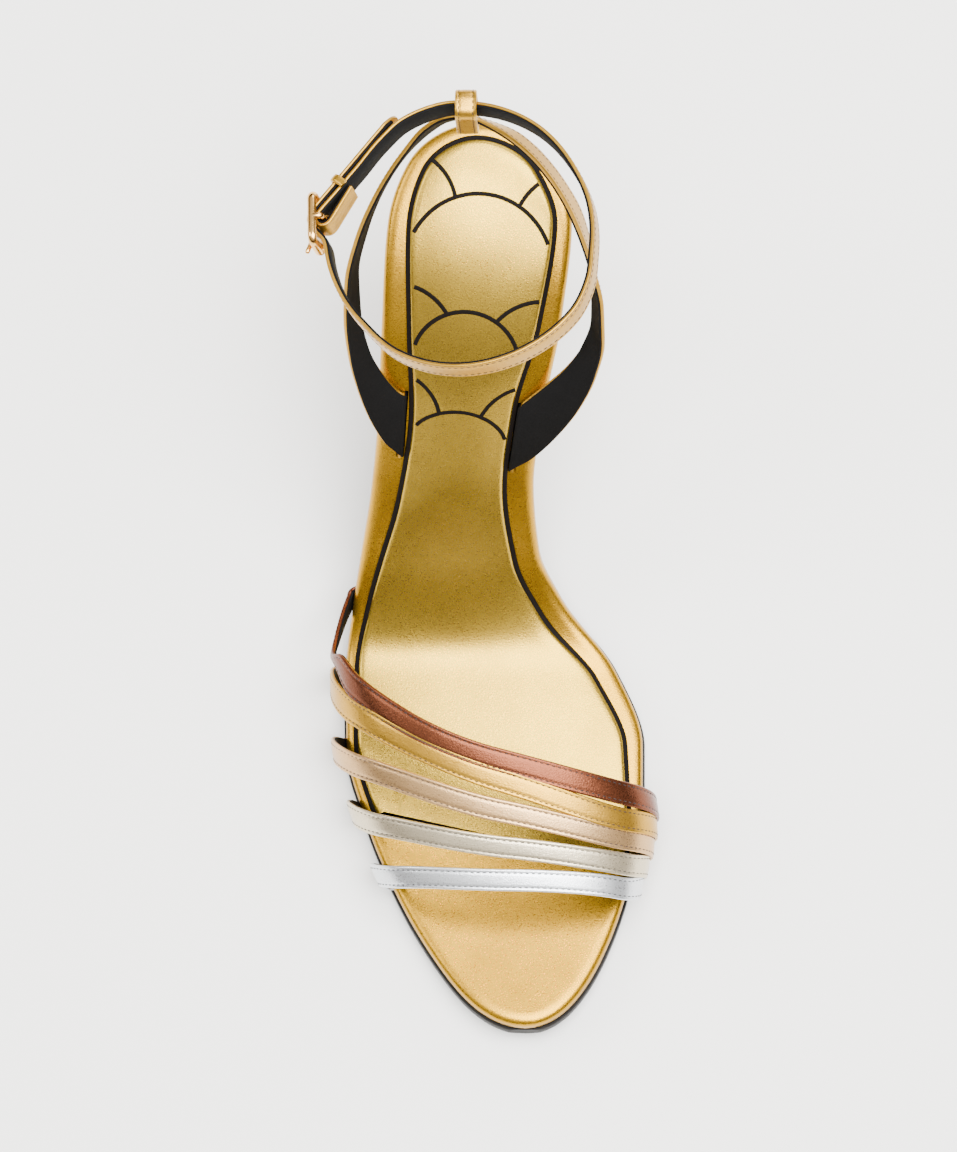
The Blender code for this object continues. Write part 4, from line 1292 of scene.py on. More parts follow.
@dataclass
class FrontStrap:
    """One narrow strap over the toes; its stations are shares of the sole's length."""

    name: str
    leather: Leather
    stations: tuple[float, ...]
    width: float = 6.2
    thick: float = 1.5
    stand_off: float = 0.45
    bulge: float = 6.0
    tuck: float = 7.0
    tilt: float = 8.6
    instep: float = 56.0
    turns: tuple[float, float] = (1.4, 1.7)
    tuck_steps: int = 8
    tuck_lead: float = 30.0
    tuck_gap: float = 1.6
    turn_steps: int = 8
    turn_lead: float = 5.0
    arch_steps: int = 110
    tilt_from: float = 100.0
    tilt_run: float = 60.0
    angles: tuple[float, ...] = (-30.0, 0.0, 45.0, 90.0, 135.0, 180.0, 210.0)
    foot_top: Table = (
        (0.04, 0.27), (0.12, 0.39), (0.20, 0.54), (0.30, 0.69), (0.40, 0.82), (0.50, 1.00),
    )

    def station(self, angle: float) -> float:
        """Returns the strap's station at an angle over the foot."""
        return SOLE.length * cubic(tuple(zip(self.angles, self.stations)), 1, angle)

    def lift(self, side: int) -> float:
        """Returns how far the lapping tilt raises the strap's edge on that side."""
        return 0.5 * self.width * math.sin(math.radians(self.tilt)) if side > 0 else 0.0

    def turn(self, side: int) -> float:
        """Returns the radius of the turn round the footbed's edge."""
        return self.turns[0 if side < 0 else 1]

    def reach(self, side: int) -> float:
        """Returns the distance from the footbed's edge out to the strap's middle line."""
        return self.stand_off + 0.5 * self.thick + self.lift(side)

    def under_edge(self, s: float, side: int, degrees: float) -> tuple[float, float]:
        """Finds the strap on its turn round the footbed's edge.

        Args:
            s: Length along the sole from the toe.
            side: -1 for the outer side, 1 for the inner side.
            degrees: 0 lies outside the edge, 90 under it.

        Returns:
            Its (x, h).
        """
        radius = self.turn(side)
        angle = math.radians(degrees)
        x = SOLE.edge(s, side) + side * (self.reach(side) - radius + radius * math.cos(angle))
        h = 0.5 * self.thick + self.lift(side) + radius - radius * math.sin(angle)
        return x, h

    def over_foot(self, s: float, degrees: float) -> tuple[float, float]:
        """Finds the strap over the foot.

        Args:
            s: Length along the sole from the toe.
            degrees: 0 is the outer edge, 180 the inner.

        Returns:
            Its (x, h).
        """
        angle = math.radians(degrees)
        low = SOLE.edge(s, -1) - self.reach(-1)
        high = SOLE.edge(s, 1) + self.reach(1)
        half = 0.5 * (high - low)
        x = 0.5 * (low + high) - half * math.cos(angle) - self.bulge * math.sin(2.0 * angle)
        share = 0.5 - 0.5 * math.cos(angle)
        outer_base = 0.5 * self.thick + self.turn(-1)
        inner_base = 0.5 * self.thick + self.lift(1) + self.turn(1)
        top = self.instep * cubic(self.foot_top, 1, s / SOLE.length)
        return x, (1.0 - share) * outer_base + share * inner_base + top * math.sin(angle)

    def marks(self) -> list[tuple[float, str, float, int]]:
        """Marks the strap's run from its outer to its inner end.

        Returns:
            The angle, kind, value and side of each mark.
        """
        legs = []
        for k in range(self.tuck_steps):
            step = self.tuck * (1.0 - k / self.tuck_steps)
            lead = self.tuck_lead * (step + self.tuck_gap) / (self.tuck + self.tuck_gap)
            legs.append((lead, "tuck", step))
        for k in range(self.turn_steps + 1):
            degrees = 90.0 - 90.0 * k / self.turn_steps
            legs.append((self.turn_lead * degrees / 90.0, "turn", degrees))
        arch = [180.0 * k / self.arch_steps for k in range(1, self.arch_steps)]
        made = [(-lead, kind, value, -1) for lead, kind, value in legs]
        made += [(degrees, "arch", degrees, 0) for degrees in arch]
        return made + [(180.0 + lead, kind, value, 1) for lead, kind, value in reversed(legs)]

    def place(self, mark: tuple[float, str, float, int], s: float) -> Vector:
        """Finds a mark's point.

        Args:
            mark: The mark.
            s: Length along the sole from the toe.

        Returns:
            The point.
        """
        _, kind, value, side = mark
        if kind == "arch":
            x, h = self.over_foot(s, value)
        elif kind == "turn":
            x, h = self.under_edge(s, side, value)
        else:
            x, h = self.under_edge(s, side, 90.0)
            x -= side * value
        return SOLE.put(s, x, h)

    def frames(self) -> list[Frame]:
        """Lays the strap from its outer tuck to its inner tuck, tilted where it laps.

        Returns:
            Its frames.
        """
        marks = self.marks()
        made = []
        for i, mark in enumerate(marks):
            before, after = neighbours(marks, i)
            s = self.station(mark[0])
            run = self.place(after, self.station(after[0])) - self.place(before, self.station(before[0]))
            drift = abs(run.dot(SOLE.directions(s)[0])) / run.length
            reach = 0.5 * self.width / max(math.sqrt(1.0 - min(drift, 0.99) ** 2), 0.55)
            half = (self.place(mark, s + reach) - self.place(mark, s - reach)) * 0.5
            normal = run.cross(half).normalized()
            t = min(max((mark[0] - self.tilt_from) / self.tilt_run, 0.0), 1.0)
            tilt = math.radians(self.tilt) * t * t * (3.0 - 2.0 * t)
            lowered = half * math.cos(tilt) - normal * half.length * math.sin(tilt)
            made.append((self.place(mark, s), lowered, run.cross(lowered).normalized()))
        return made

    def build(self, wardrobe: Wardrobe) -> None:
        """Makes the strap's face, lining and stitches.

        Args:
            wardrobe: Hands out the materials.
        """
        frames = self.frames()
        name = f"{self.name}_strap"
        runs = (frames, frames, frames)
        wardrobe.strap(name, name, "forefoot_straps", self.leather, self.width, self.thick, runs)


@dataclass
class AnkleRing:
    """Where the ankle strap's ring stands, how it tilts and how far out its band runs."""

    radius: float = 34.0
    rise: float = 9.0
    lean: float = 11.5
    centre_at: float = 0.3844
    above_seat: float = 67.0
    offset: float = -2.6
    path: Table = (
        (154.0, 0.985), (143.0, 0.966), (128.0, 0.998), (116.0, 1.040), (100.0, 1.050), (84.0, 1.022),
        (60.0, 0.985), (30.0, 0.952), (10.0, 0.970), (-10.0, 0.998), (-24.0, 1.050), (-38.0, 1.080),
        (-60.0, 1.064), (-90.0, 1.034), (-115.0, 0.995), (-138.0, 0.949), (-155.0, 0.955),
        (-177.0, 0.983),
    )

    def __post_init__(self) -> None:
        """Works out the ring's centre and directions."""
        rise = math.radians(self.rise)
        lean = math.radians(self.lean)
        z = SOLE.at(SOLE.length)[1] + self.above_seat
        self.centre = Vector((self.offset, self.centre_at * SOLE.length, z))
        self.inner = Vector((math.cos(lean), 0.0, math.sin(lean)))
        self.up = self.inner.cross(Vector((0.0, math.cos(rise), -math.sin(rise)))).normalized()
        self.back = self.up.cross(self.inner)

    def out(self, azimuth: float) -> Vector:
        """Returns the direction out of the ring at an azimuth from the inner side."""
        angle = math.radians(azimuth)
        return self.inner * math.cos(angle) + self.back * math.sin(angle)

    def point(self, azimuth: float, radius: float) -> Vector:
        """Returns the point at an azimuth and a radius."""
        return self.centre + self.out(azimuth) * radius

    def band(self, azimuth: float, inset: float = 0.0) -> Vector:
        """Returns the band's middle line at an azimuth, or a line that lies inside it."""
        return self.point(azimuth, self.radius * cubic(self.path, 1, azimuth) - inset)


RING = AnkleRing()


@dataclass
class HeelStrap:
    """One band from slot to slot round the back of the ankle, wide below and narrow above."""

    thick: float = 1.5
    back_width: float = 6.2
    drop: float = 2.4
    behind: float = 0.8
    lean: float = 14.0
    sag: float = 3.0
    rise: float = 1.3
    steps: int = 120
    outer: Table = (
        (0.000, 0.576, 0.000, 0.539), (0.050, 0.692, 0.020, 0.579), (0.120, 0.796, 0.050, 0.635),
        (0.210, 0.876, 0.100, 0.709), (0.300, 0.924, 0.180, 0.790), (0.400, 0.942, 0.300, 0.840),
        (0.520, 0.919, 0.450, 0.848), (0.650, 0.823, 0.610, 0.762), (0.780, 0.657, 0.755, 0.624),
        (0.890, 0.459, 0.880, 0.433), (0.960, 0.298, 0.955, 0.249), (0.990, 0.155, 0.988, 0.125),
        (1.000, 0.000, 1.000, 0.000),
    )
    inner: Table = (
        (0.000, 0.267, 0.000, 0.342), (0.042, 0.447, 0.030, 0.422), (0.105, 0.637, 0.080, 0.559),
        (0.185, 0.814, 0.145, 0.719), (0.275, 0.938, 0.225, 0.847), (0.370, 0.998, 0.320, 0.924),
        (0.470, 0.992, 0.425, 0.930), (0.590, 0.912, 0.550, 0.906), (0.700, 0.807, 0.670, 0.845),
        (0.800, 0.667, 0.780, 0.717), (0.890, 0.472, 0.880, 0.542), (0.950, 0.270, 0.945, 0.366),
        (0.985, 0.100, 0.983, 0.130), (1.000, 0.000, 1.000, 0.000),
    )

    def back_edges(self) -> tuple[Vector, Vector]:
        """Finds the band's edges at the back of the ankle.

        Returns:
            The upper and the lower edge.
        """
        seam = RING.band(90.0) - RING.up * (0.5 * STRAP_WIDTH + self.drop) + RING.back * self.behind
        seam.x = RING.offset
        lean = math.radians(self.lean)
        return seam, seam + Vector((0.0, math.sin(lean), -math.cos(lean))) * self.back_width

    def edges(self, which: int) -> list[tuple[Vector, Vector]]:
        """Gives the band's edges on one side.

        Args:
            which: 0 for the outer side, 1 for the inner side.

        Returns:
            Upper and lower edge points from the slot to the back.
        """
        side, front_at, rear_at, inset = SLOTS[which]
        picked = (self.outer, self.inner)[which]
        top, bottom = self.back_edges()
        rows = []
        for h in (0.35, 2.5, SOLE.thick, SOLE.thick + self.rise):
            pair = []
            for share in (front_at, rear_at):
                s = share * SOLE.length
                pair.append(SOLE.put(s, SOLE.edge(s, side) - side * inset, h))
            rows.append((pair[0], pair[1]))
        front, rear = rows[-1]
        table = tuple((i, *row) for i, row in enumerate(picked))
        for k in range(1, self.steps + 1):
            place = (len(picked) - 1) * k / self.steps
            lower_share = cubic(table, 3, place)
            upper = front.lerp(top, cubic(table, 1, place))
            lower = rear.lerp(bottom, lower_share)
            lower += Vector((0.0, 0.2, -1.0)) * self.sag * math.sin(math.pi * lower_share)
            fade = max(0.0, 1.0 - place) ** 2
            for point, column, foot in ((upper, 2, front), (lower, 4, rear)):
                x = RING.offset + side * RING.radius * cubic(table, column, place)
                point.x = x * (1.0 - fade) + foot.x * fade
            rows.append((upper, lower))
        return rows

    def frames(self) -> list[Frame]:
        """Lays the band from the outer slot to the inner slot, its face outwards.

        Returns:
            Its frames.
        """
        rows = self.edges(0) + list(reversed(self.edges(1)[:-1]))
        made = []
        for i, (upper, lower) in enumerate(rows):
            before, after = neighbours(rows, i, far=2)
            run = (after[0] + after[1] - before[0] - before[1]).normalized()
            half = (upper - lower) * 0.5
            made.append(((upper + lower) * 0.5, half, half.cross(run).normalized()))
        middle, _, normal = made[len(made) // 2]
        if normal.dot(middle - RING.centre) < 0.0:
            made = [(point, half, -normal) for point, half, normal in made]
        return made

    def build(self, wardrobe: Wardrobe) -> None:
        """Makes the band's face, lining and stitches.

        Args:
            wardrobe: Hands out the materials.
        """
        frames = self.frames()
        deep = 0.5 * self.thick
        wardrobe.foil("heel_strap_face", sweep(frames, self.wide_face(deep)), Leather.ANKLE, "heel_strap")
        seam = LINING_THICK + LINING_OVERLAP - deep
        wardrobe.line("heel_strap_lining", frames, [
            (0.955, seam), (0.955, 0.1 - deep), (0.93, -deep), (0.0, -deep),
            (-0.93, -deep), (-0.955, 0.1 - deep), (-0.955, seam), (0.0, seam),
        ])
        wardrobe.sew("heel_strap_stitches", Leather.ANKLE, frames[4:-4], 1.1, deep - 0.03)

    def wide_face(self, deep: float) -> list[Point]:
        """Gives the face's section, for a half width that varies.

        Args:
            deep: Half the band's thickness.

        Returns:
            Points of the section, as shares of the half width and heights.
        """
        low = LINING_THICK - deep
        half = [
            (0.0, deep), (0.5, deep), (0.90, deep - 0.02), (0.955, deep - 0.06), (0.985, deep - 0.2),
            (1.0, deep - 0.45), (0.99, low + 0.2), (0.96, low + 0.05), (0.92, low), (0.0, low),
        ]
        return half + [(-share, height) for share, height in reversed(half[1:-1])]


@dataclass
class Buckle:
    """Centre bar buckle: a cast frame, a bar stepped in towards the ankle, and a prong."""

    wire: float = 0.8
    depth: float = 1.1
    prong: float = 0.6
    gap: float = 0.3
    window: float = 7.7
    half: float = 6.5
    stand: float = 2.4
    past: float = 1.4
    facing: float = 183.5
    bar_at: float = 169.9
    bar_out: float = 1.037

    def __post_init__(self) -> None:
        """Works out the bar's place and the buckle's directions."""
        self.out = RING.out(self.facing)
        self.run = RING.up.cross(self.out).normalized()
        self.bar = RING.point(self.bar_at, RING.radius * self.bar_out)

    def round_bar(self, degrees: float, radius: float) -> Vector:
        """Returns a point round the bar: 0 lies towards the front, 90 out of the ankle."""
        angle = math.radians(degrees)
        return self.bar + (self.run * math.cos(angle) + self.out * math.sin(angle)) * radius

    def arc(self, first: float, last: float, radius: float, steps: int) -> list[Vector]:
        """Returns evenly spaced points round the bar."""
        return [self.round_bar(first + (last - first) * k / steps, radius) for k in range(steps + 1)]

    def touch(self, point: Vector, radius: float, turn: int) -> float:
        """Finds where a straight line meets a circle round the bar.

        Args:
            point: Where the line comes from.
            radius: The circle's radius.
            turn: 1 or -1, the side it touches.

        Returns:
            The touching point's angle in degrees.
        """
        away = point - self.bar
        angle = math.atan2(away.dot(self.out), away.dot(self.run)) % math.tau
        return math.degrees(angle + turn * math.acos(radius / away.length))

    def build(self, wardrobe: Wardrobe) -> None:
        """Makes the frame with its bar, and the prong.

        Args:
            wardrobe: Hands out the materials.
        """
        middle = self.bar + self.out * self.stand
        half_up = 0.5 * self.window + self.wire
        path = rounded_loop(middle, self.run, RING.up, self.half, half_up, 2.5 * self.wire, 9)
        mesh = wire(path, self.wire, self.out, True, self.depth)
        staple: list[Vector] = []
        for side in (-1.0, 1.0):
            leg = [
                middle + RING.up * side * half_up,
                self.bar + RING.up * side * half_up + self.out * self.wire,
                self.bar + RING.up * side * (half_up - 0.3 * self.wire) + self.out * 0.3 * self.wire,
                self.bar + RING.up * side * (half_up - self.wire),
            ]
            staple += leg if side < 0.0 else reversed(leg)
        bar = wire(even_path(staple, 0.35, 2), self.wire, self.run, False)
        wardrobe.plate("buckle_loop", joined(mesh, bar), "buckle_frame")
        reach = self.wire + self.gap + self.prong
        slope = (self.stand + self.depth + self.gap + self.prong - reach) / self.half
        points = self.arc(-30.0, -270.0, reach, 24)
        for k in range(1, 13):
            length = (self.half + self.past - self.prong) * k / 12
            points.append(self.bar + self.run * length + self.out * (reach + slope * length))
        wardrobe.plate("buckle_tongue", wire(points, self.prong, RING.up, False), "buckle_prong")


@dataclass
class AnkleStrap:
    """The buckled strap: folded round the bar, once round the ankle, through the buckle to a point."""

    buckle: Buckle = field(default_factory=Buckle)
    thick: float = 1.4
    gap: float = 0.3
    fold_end: float = 153.0
    fold_space: float = 0.4
    tip_at: float = 118.0
    tip_out: float = 1.118
    keeper_at: float = 9.8
    keeper_width: float = 2.2
    keeper_thick: float = 0.8
    tip_shape: Table = ((0.0, 0.10), (0.5, 0.22), (1.2, 0.33), (3.6, 0.50))

    def over(self) -> float:
        """Returns the radius at which the running strap passes over the bar and the fold."""
        return self.buckle.wire + 0.5 * self.thick + self.thick + 2.0 * self.gap

    def tip(self) -> Vector:
        """Returns the middle of the strap's free end."""
        return RING.point(self.tip_at, RING.radius * self.tip_out)

    def path(self) -> list[Vector]:
        """Traces the strap's middle line from the fold's end to the tip.

        Returns:
            Its points, evenly spaced.
        """
        buckle = self.buckle
        fold = buckle.wire + self.gap + 0.5 * self.thick
        first = RING.path[0][0]
        last = RING.path[-1][0]
        end = RING.band(self.fold_end, self.thick + self.fold_space)
        inside = buckle.touch(end, fold, 1) - 360.0
        points = [end] + buckle.arc(inside, buckle.touch(RING.band(first), fold, -1), fold, 28)
        points += [RING.band(first + (last - first) * k / 240) for k in range(241)]
        under = buckle.stand - buckle.depth - 2.0 * self.gap - 0.7 * self.thick
        entry = buckle.bar + buckle.run * (buckle.half - buckle.wire) + buckle.out * under
        leave = buckle.touch(self.tip(), self.over(), -1)
        points.append(entry)
        points += buckle.arc(buckle.touch(entry, self.over(), 1) - 360.0, leave, self.over(), 20)
        return even_path(points + [self.tip()], 0.6, 3)

    def frames(self) -> list[Frame]:
        """Lays the strap from the fold's end to the pointed tip.

        Returns:
            Its frames.
        """
        points = self.path()
        made = []
        for i, point in enumerate(points):
            before, after = neighbours(points, i)
            run = (after - before).normalized()
            half = 0.5
            if i > len(points) // 2:
                half = cubic(self.tip_shape, 1, (point - points[-1]).length)
            made.append((point, RING.up * STRAP_WIDTH * half, RING.up.cross(run).normalized()))
        return made

    def build(self, wardrobe: Wardrobe) -> None:
        """Makes the strap, its lining, its stitches, the buckle and the keeper.

        Args:
            wardrobe: Hands out the materials.
        """
        frames = self.frames()
        runs = (frames, frames[:-3], frames[40:-7])
        wardrobe.strap(
            "ankle_strap_face", "ankle_strap", "ankle_strap", Leather.ANKLE, STRAP_WIDTH, self.thick, runs,
        )
        self.buckle.build(wardrobe)
        self.build_keeper(wardrobe)

    def build_keeper(self, wardrobe: Wardrobe) -> None:
        """Makes the small band that holds the free end, caught between the layers of the fold.

        Args:
            wardrobe: Hands out the materials.
        """
        start = self.buckle.round_bar(self.buckle.touch(self.tip(), self.over(), -1), self.over())
        along = (self.tip() - start).normalized()
        out = RING.up.cross(along).normalized()
        middle = start + along * self.keeper_at
        outside = 0.5 * self.thick + self.gap + 0.5 * self.keeper_thick
        inside = 1.5 * self.thick + self.gap
        half_up = 0.5 * STRAP_WIDTH + self.gap + 0.5 * self.keeper_thick
        corner = 2.0 * self.keeper_thick
        points = [middle - out * inside - RING.up * half_up]
        for first, side in ((-90, -1), (0, 1)):
            centre = middle + out * (outside - corner) + RING.up * side * (half_up - corner)
            points += corner_arc(centre, out, RING.up, corner, first, 8)
        points.append(middle - out * inside + RING.up * half_up)
        frames = band_frames(even_path(points, 0.3, 1), middle, along, self.keeper_width, False)
        deep = 0.5 * self.keeper_thick
        mesh = sweep(frames, strap_face(0.5 * self.keeper_width, deep, -deep))
        wardrobe.foil("keeper_loop", mesh, Leather.GOLD, "strap_keeper")


def corner_arc(
    middle: Vector, axis_a: Vector, axis_b: Vector, radius: float, first: float, steps: int,
) -> list[Vector]:
    """Gives points on a quarter circle.

    Args:
        middle: The circle's middle.
        axis_a: Direction of 0 degrees.
        axis_b: Direction of 90 degrees.
        radius: The circle's radius.
        first: Degrees at which the quarter starts.
        steps: Spaces between its points.

    Returns:
        The points in order.
    """
    angles = [math.radians(first + 90.0 * k / steps) for k in range(steps + 1)]
    return [middle + (axis_a * math.cos(a) + axis_b * math.sin(a)) * radius for a in angles]


def rounded_loop(
    centre: Vector, axis_a: Vector, axis_b: Vector, half_a: float, half_b: float, corner: float, steps: int,
) -> list[Vector]:
    """Gives points round a rectangle with round corners.

    Args:
        centre: Its middle.
        axis_a: First direction.
        axis_b: Second direction.
        half_a: Half its size along the first direction.
        half_b: Half its size along the second.
        corner: Radius of its corners.
        steps: Points in each corner.

    Returns:
        The points in order.
    """
    points: list[Vector] = []
    for sign_a, sign_b, start in ((1, 1, 0), (-1, 1, 90), (-1, -1, 180), (1, -1, 270)):
        middle = centre + axis_a * (half_a - corner) * sign_a + axis_b * (half_b - corner) * sign_b
        points += corner_arc(middle, axis_a, axis_b, corner, start, steps)
    return points


def even_path(points: Sequence[Vector], step: float, rounds: int) -> list[Vector]:
    """Spaces a path's points evenly and takes the kinks out of it.

    Args:
        points: The path, in millimetres.
        step: Distance between the new points.
        rounds: How often each point is eased towards its neighbours.

    Returns:
        The new path, with the same ends.
    """
    lengths = [0.0]
    for a, b in zip(points, points[1:]):
        lengths.append(lengths[-1] + (b - a).length)
    count = max(round(lengths[-1] / step), 2)
    made = []
    i = 0
    for k in range(count + 1):
        at = lengths[-1] * k / count
        while i < len(points) - 2 and at > lengths[i + 1]:
            i += 1
        made.append(points[i].lerp(points[i + 1], (at - lengths[i]) / max(lengths[i + 1] - lengths[i], 1e-9)))
    for _ in range(rounds):
        eased = [(a + b * 2.0 + c) * 0.25 for a, b, c in zip(made, made[1:], made[2:])]
        made = [made[0], *eased, made[-1]]
    return made


def wire(
    path: Sequence[Vector], radius: float, across: Vector, closed: bool, depth: float | None = None,
) -> bmesh.types.BMesh:
    """Runs a wire along a flat path, with rounded ends if it is open.

    Args:
        path: Its middle line, in millimetres.
        radius: Half its size in the path's plane.
        across: The plane's normal.
        closed: Whether the path joins up with its start.
        depth: Half its size along the normal, where that differs.

    Returns:
        The closed mesh.
    """
    frames: list[Frame] = []
    for i, point in enumerate(path):
        before, after = neighbours(path, i, closed)
        frames.append((point, (after - before).normalized().cross(across).normalized(), across))
    if not closed:
        caps: list[list[Frame]] = [[], []]
        for cap, end, beside in ((0, 0, 1), (1, -1, -2)):
            beyond = (path[end] - path[beside]).normalized()
            for k in range(1, CAP_RINGS + 1):
                angle = math.radians(CAP_STEP * k)
                point, outward, normal = frames[end]
                scale = math.cos(angle)
                caps[cap].append((point + beyond * radius * math.sin(angle), outward * scale, normal * scale))
        frames = caps[0][::-1] + frames + caps[1]
    deep = radius if depth is None else depth
    angles = [math.tau * k / WIRE_SIDES for k in range(WIRE_SIDES)]
    return sweep(frames, [(radius * math.cos(a), deep * math.sin(a)) for a in angles], closed)


def joined(first: bmesh.types.BMesh, second: bmesh.types.BMesh) -> bmesh.types.BMesh:
    """Adds one mesh to another.

    Args:
        first: Mesh that grows.
        second: Mesh that is added; it is used up.

    Returns:
        The first mesh, with both shapes in it.
    """
    data = bpy.data.meshes.new("passing")
    second.to_mesh(data)
    second.free()
    first.from_mesh(data)
    bpy.data.meshes.remove(data)
    return first


def band_frames(
    points: Sequence[Vector], centre: Vector, across: Vector, width: float, closed: bool,
) -> list[Frame]:
    """Gives the frames of a leather band bent along points, its face away from the centre.

    Args:
        points: The band's middle line.
        centre: A point inside the bend.
        across: Direction of its width.
        width: Its width.
        closed: Whether it joins up with its start.

    Returns:
        The frames in order.
    """
    frames = []
    for i, point in enumerate(points):
        before, after = neighbours(points, i, closed)
        normal = (after - before).normalized().cross(across).normalized()
        if normal.dot(point - centre) < 0.0:
            normal = -normal
        frames.append((point, across * width * 0.5, normal))
    return frames


@dataclass
class HeelLoop:
    """The loop at the back that ties the heel strap to the ankle strap."""

    width: float = 5.4
    thick: float = 1.3
    at_x: float = -1.8
    slack: float = 1.2
    rib: float = 0.5

    def build(self, wardrobe: Wardrobe, heel_strap: HeelStrap) -> None:
        """Makes the loop round both straps, and its stitches.

        Args:
            wardrobe: Hands out the materials.
            heel_strap: The strap that it holds up.
        """
        across = Vector((1.0, 0.0, 0.0))
        seam, hem = heel_strap.back_edges()
        top = RING.band(90.0) + RING.up * 0.5 * STRAP_WIDTH
        held = [top, top - RING.up * STRAP_WIDTH, seam, hem]
        for point in held:
            point.x = self.at_x
        rise = (top - hem).normalized()
        out = rise.cross(across).normalized()
        depths = [(point - top).dot(out) for point in held]
        half_out = 0.5 * (max(depths) - min(depths) + heel_strap.thick + self.thick) + self.slack
        half_rise = 0.5 * ((top - hem).length + self.thick) + self.slack
        centre = (top + hem) * 0.5 + out * 0.5 * (max(depths) + min(depths))
        points = rounded_loop(centre, out, rise, half_out, half_rise, 0.7 * half_out, 10)
        frames = band_frames(even_path(points + [points[0]], 0.4, 2)[:-1], centre, across, self.width, True)
        deep = 0.5 * self.thick
        mesh = sweep(frames, strap_face(0.5 * self.width, deep, -deep, self.rib), True)
        wardrobe.foil("back_loop", mesh, Leather.GOLD, "heel_loop")
        sewn = frames + frames[:1]
        wardrobe.sew("back_loop_stitches", Leather.GOLD, sewn, 0.95, deep, pitch=1.5, length=1.0, thick=0.3)


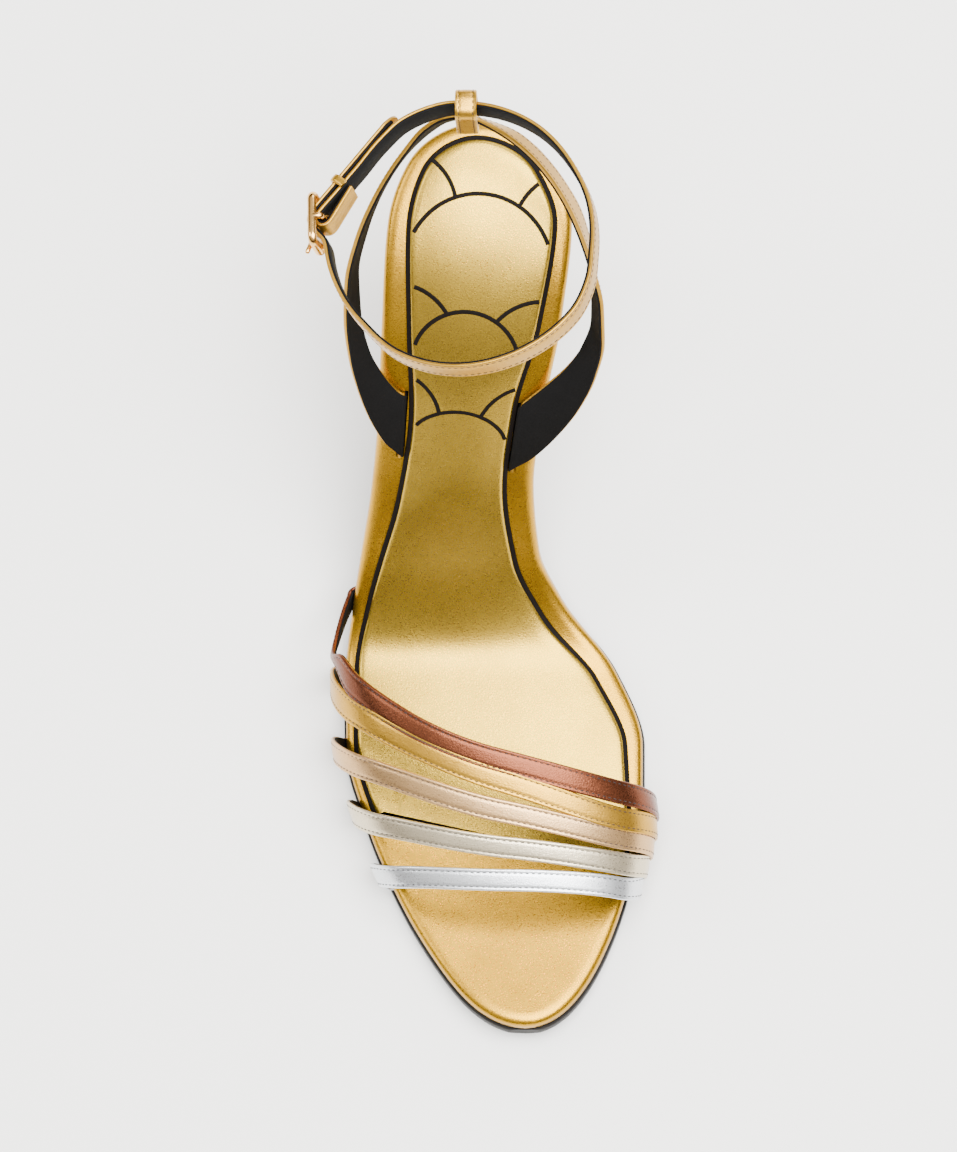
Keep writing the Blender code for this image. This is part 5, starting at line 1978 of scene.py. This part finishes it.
@dataclass
class Studio:
    """Pale floor, soft boxes and the camera, which looks down from over the toe."""

    distance: float = 1700.0
    tilt: float = 12.0
    aim: tuple[float, float, float] = (-1.5, 40.0, 45.0)
    camera_over: tuple[float, float] = (48.5, 33.05)
    zoom: float = 1.12
    photo_scale: float = 3.33
    photo_height: float = 1152.0
    sensor: float = 24.0

    def build(self) -> None:
        """Sets up the floor, lights and camera."""
        self.floor()
        self.lights()
        self.camera()

    def floor(self) -> None:
        """Makes the seamless pale floor."""
        mesh = bmesh.new()
        bmesh.ops.create_grid(mesh, x_segments=1, y_segments=1, size=4.0)
        data = bpy.data.meshes.new("studio_floor")
        mesh.to_mesh(data)
        mesh.free()
        paper = Graph("matt_paper_backdrop").finished({"Base Color": linear("f4f3f0"), "Roughness": 0.8})
        data.materials.append(paper)
        floor = bpy.data.objects.new("studio_floor", data)
        bpy.context.scene.collection.objects.link(floor)

    def lights(self) -> None:
        """Hangs the soft boxes in a room that is bright overhead and dim and warm low down."""
        world = bpy.data.worlds.new("studio_room")
        bpy.context.scene.world = world
        world.use_nodes = True
        tree = world.node_tree
        coords = add_node(tree, "ShaderNodeTexCoord")
        parts = add_node(tree, "ShaderNodeSeparateXYZ", {0: coords.outputs["Generated"]})
        height = add_node(
            tree,
            "ShaderNodeMapRange",
            {"Value": parts.outputs["Z"], "From Min": 0.15, "From Max": 0.95},
            interpolation_type="SMOOTHSTEP",
        )
        sky = add_node(
            tree,
            "ShaderNodeMix",
            {0: height.outputs["Result"], 6: linear("4c3c2e"), 7: linear("fffdf8")},
            data_type="RGBA",
        )
        plug(tree, tree.nodes["Background"], {"Color": sky.outputs[2], "Strength": 1.2})
        self.soft_box("top_box", (0.35, -0.1, 1.7), (0.1, 0.05, 0.0), 1.5, 125.0)
        self.soft_box("back_box", (0.5, 1.5, 0.9), (0.0, 0.05, 0.05), 0.9, 14.0)
        self.soft_box("side_box", (-1.3, 0.2, 1.1), (0.0, 0.05, 0.05), 0.8, 16.0)

    def soft_box(
        self,
        name: str,
        place: tuple[float, float, float],
        target: tuple[float, float, float],
        size: float,
        watts: float,
    ) -> None:
        """Hangs one square soft box.

        Args:
            name: The light's name.
            place: Where it hangs, in metres.
            target: What it points at.
            size: Its side, in metres.
            watts: Its power.
        """
        light = bpy.data.lights.new(name, "AREA")
        light.shape = "SQUARE"
        light.size = size
        light.energy = watts
        made = bpy.data.objects.new(name, light)
        made.location = place
        made.rotation_euler = (Vector(target) - Vector(place)).to_track_quat("-Z", "Y").to_euler()
        bpy.context.scene.collection.objects.link(made)

    def camera(self) -> None:
        """Places the camera at the photograph's angle, then turns it to bring the sandal in."""
        tilt = math.radians(self.tilt)
        ahead = Vector((0.0, math.sin(tilt), -math.cos(tilt)))
        place = Vector((*self.camera_over, 0.0)) - ahead * self.distance
        turned = ahead.rotation_difference(Vector(self.aim) - place) @ Quaternion((1.0, 0.0, 0.0), tilt)
        data = bpy.data.cameras.new("view")
        data.sensor_fit = "VERTICAL"
        data.sensor_height = self.sensor
        data.lens = self.sensor * self.photo_scale * self.distance / self.photo_height * self.zoom
        data.clip_start = 0.05
        data.clip_end = 20.0
        made = bpy.data.objects.new("view", data)
        made.location = place * MM
        made.rotation_euler = turned.to_euler()
        bpy.context.scene.collection.objects.link(made)
        bpy.context.scene.camera = made


FRONT_STRAPS = (
    FrontStrap("bronze", Leather.BRONZE, (0.478, 0.455, 0.337, 0.259, 0.231, 0.227, 0.227)),
    FrontStrap("gold", Leather.GOLD, (0.380, 0.373, 0.310, 0.239, 0.205, 0.208, 0.208)),
    FrontStrap("champagne", Leather.CHAMPAGNE, (0.299, 0.296, 0.257, 0.208, 0.185, 0.188, 0.188)),
    FrontStrap("platinum", Leather.PLATINUM, (0.226, 0.229, 0.200, 0.169, 0.158, 0.169, 0.169)),
    FrontStrap("silver", Leather.SILVER, (0.158, 0.161, 0.144, 0.133, 0.132, 0.150, 0.151)),
)


def main() -> None:
    """Builds the sandal's looks piece by piece, then the studio."""
    logging.basicConfig(level=logging.INFO, format="%(name)s %(message)s")
    wardrobe = Wardrobe()
    Footbed().build(wardrobe)
    Insock().build(wardrobe)
    Outsole().build(wardrobe)
    Heel().build(wardrobe)
    for strap in FRONT_STRAPS:
        strap.build(wardrobe)
    heel_strap = HeelStrap()
    heel_strap.build(wardrobe)
    AnkleStrap().build(wardrobe)
    HeelLoop().build(wardrobe, heel_strap)
    Studio().build()


if __name__ == "__main__":
    main()
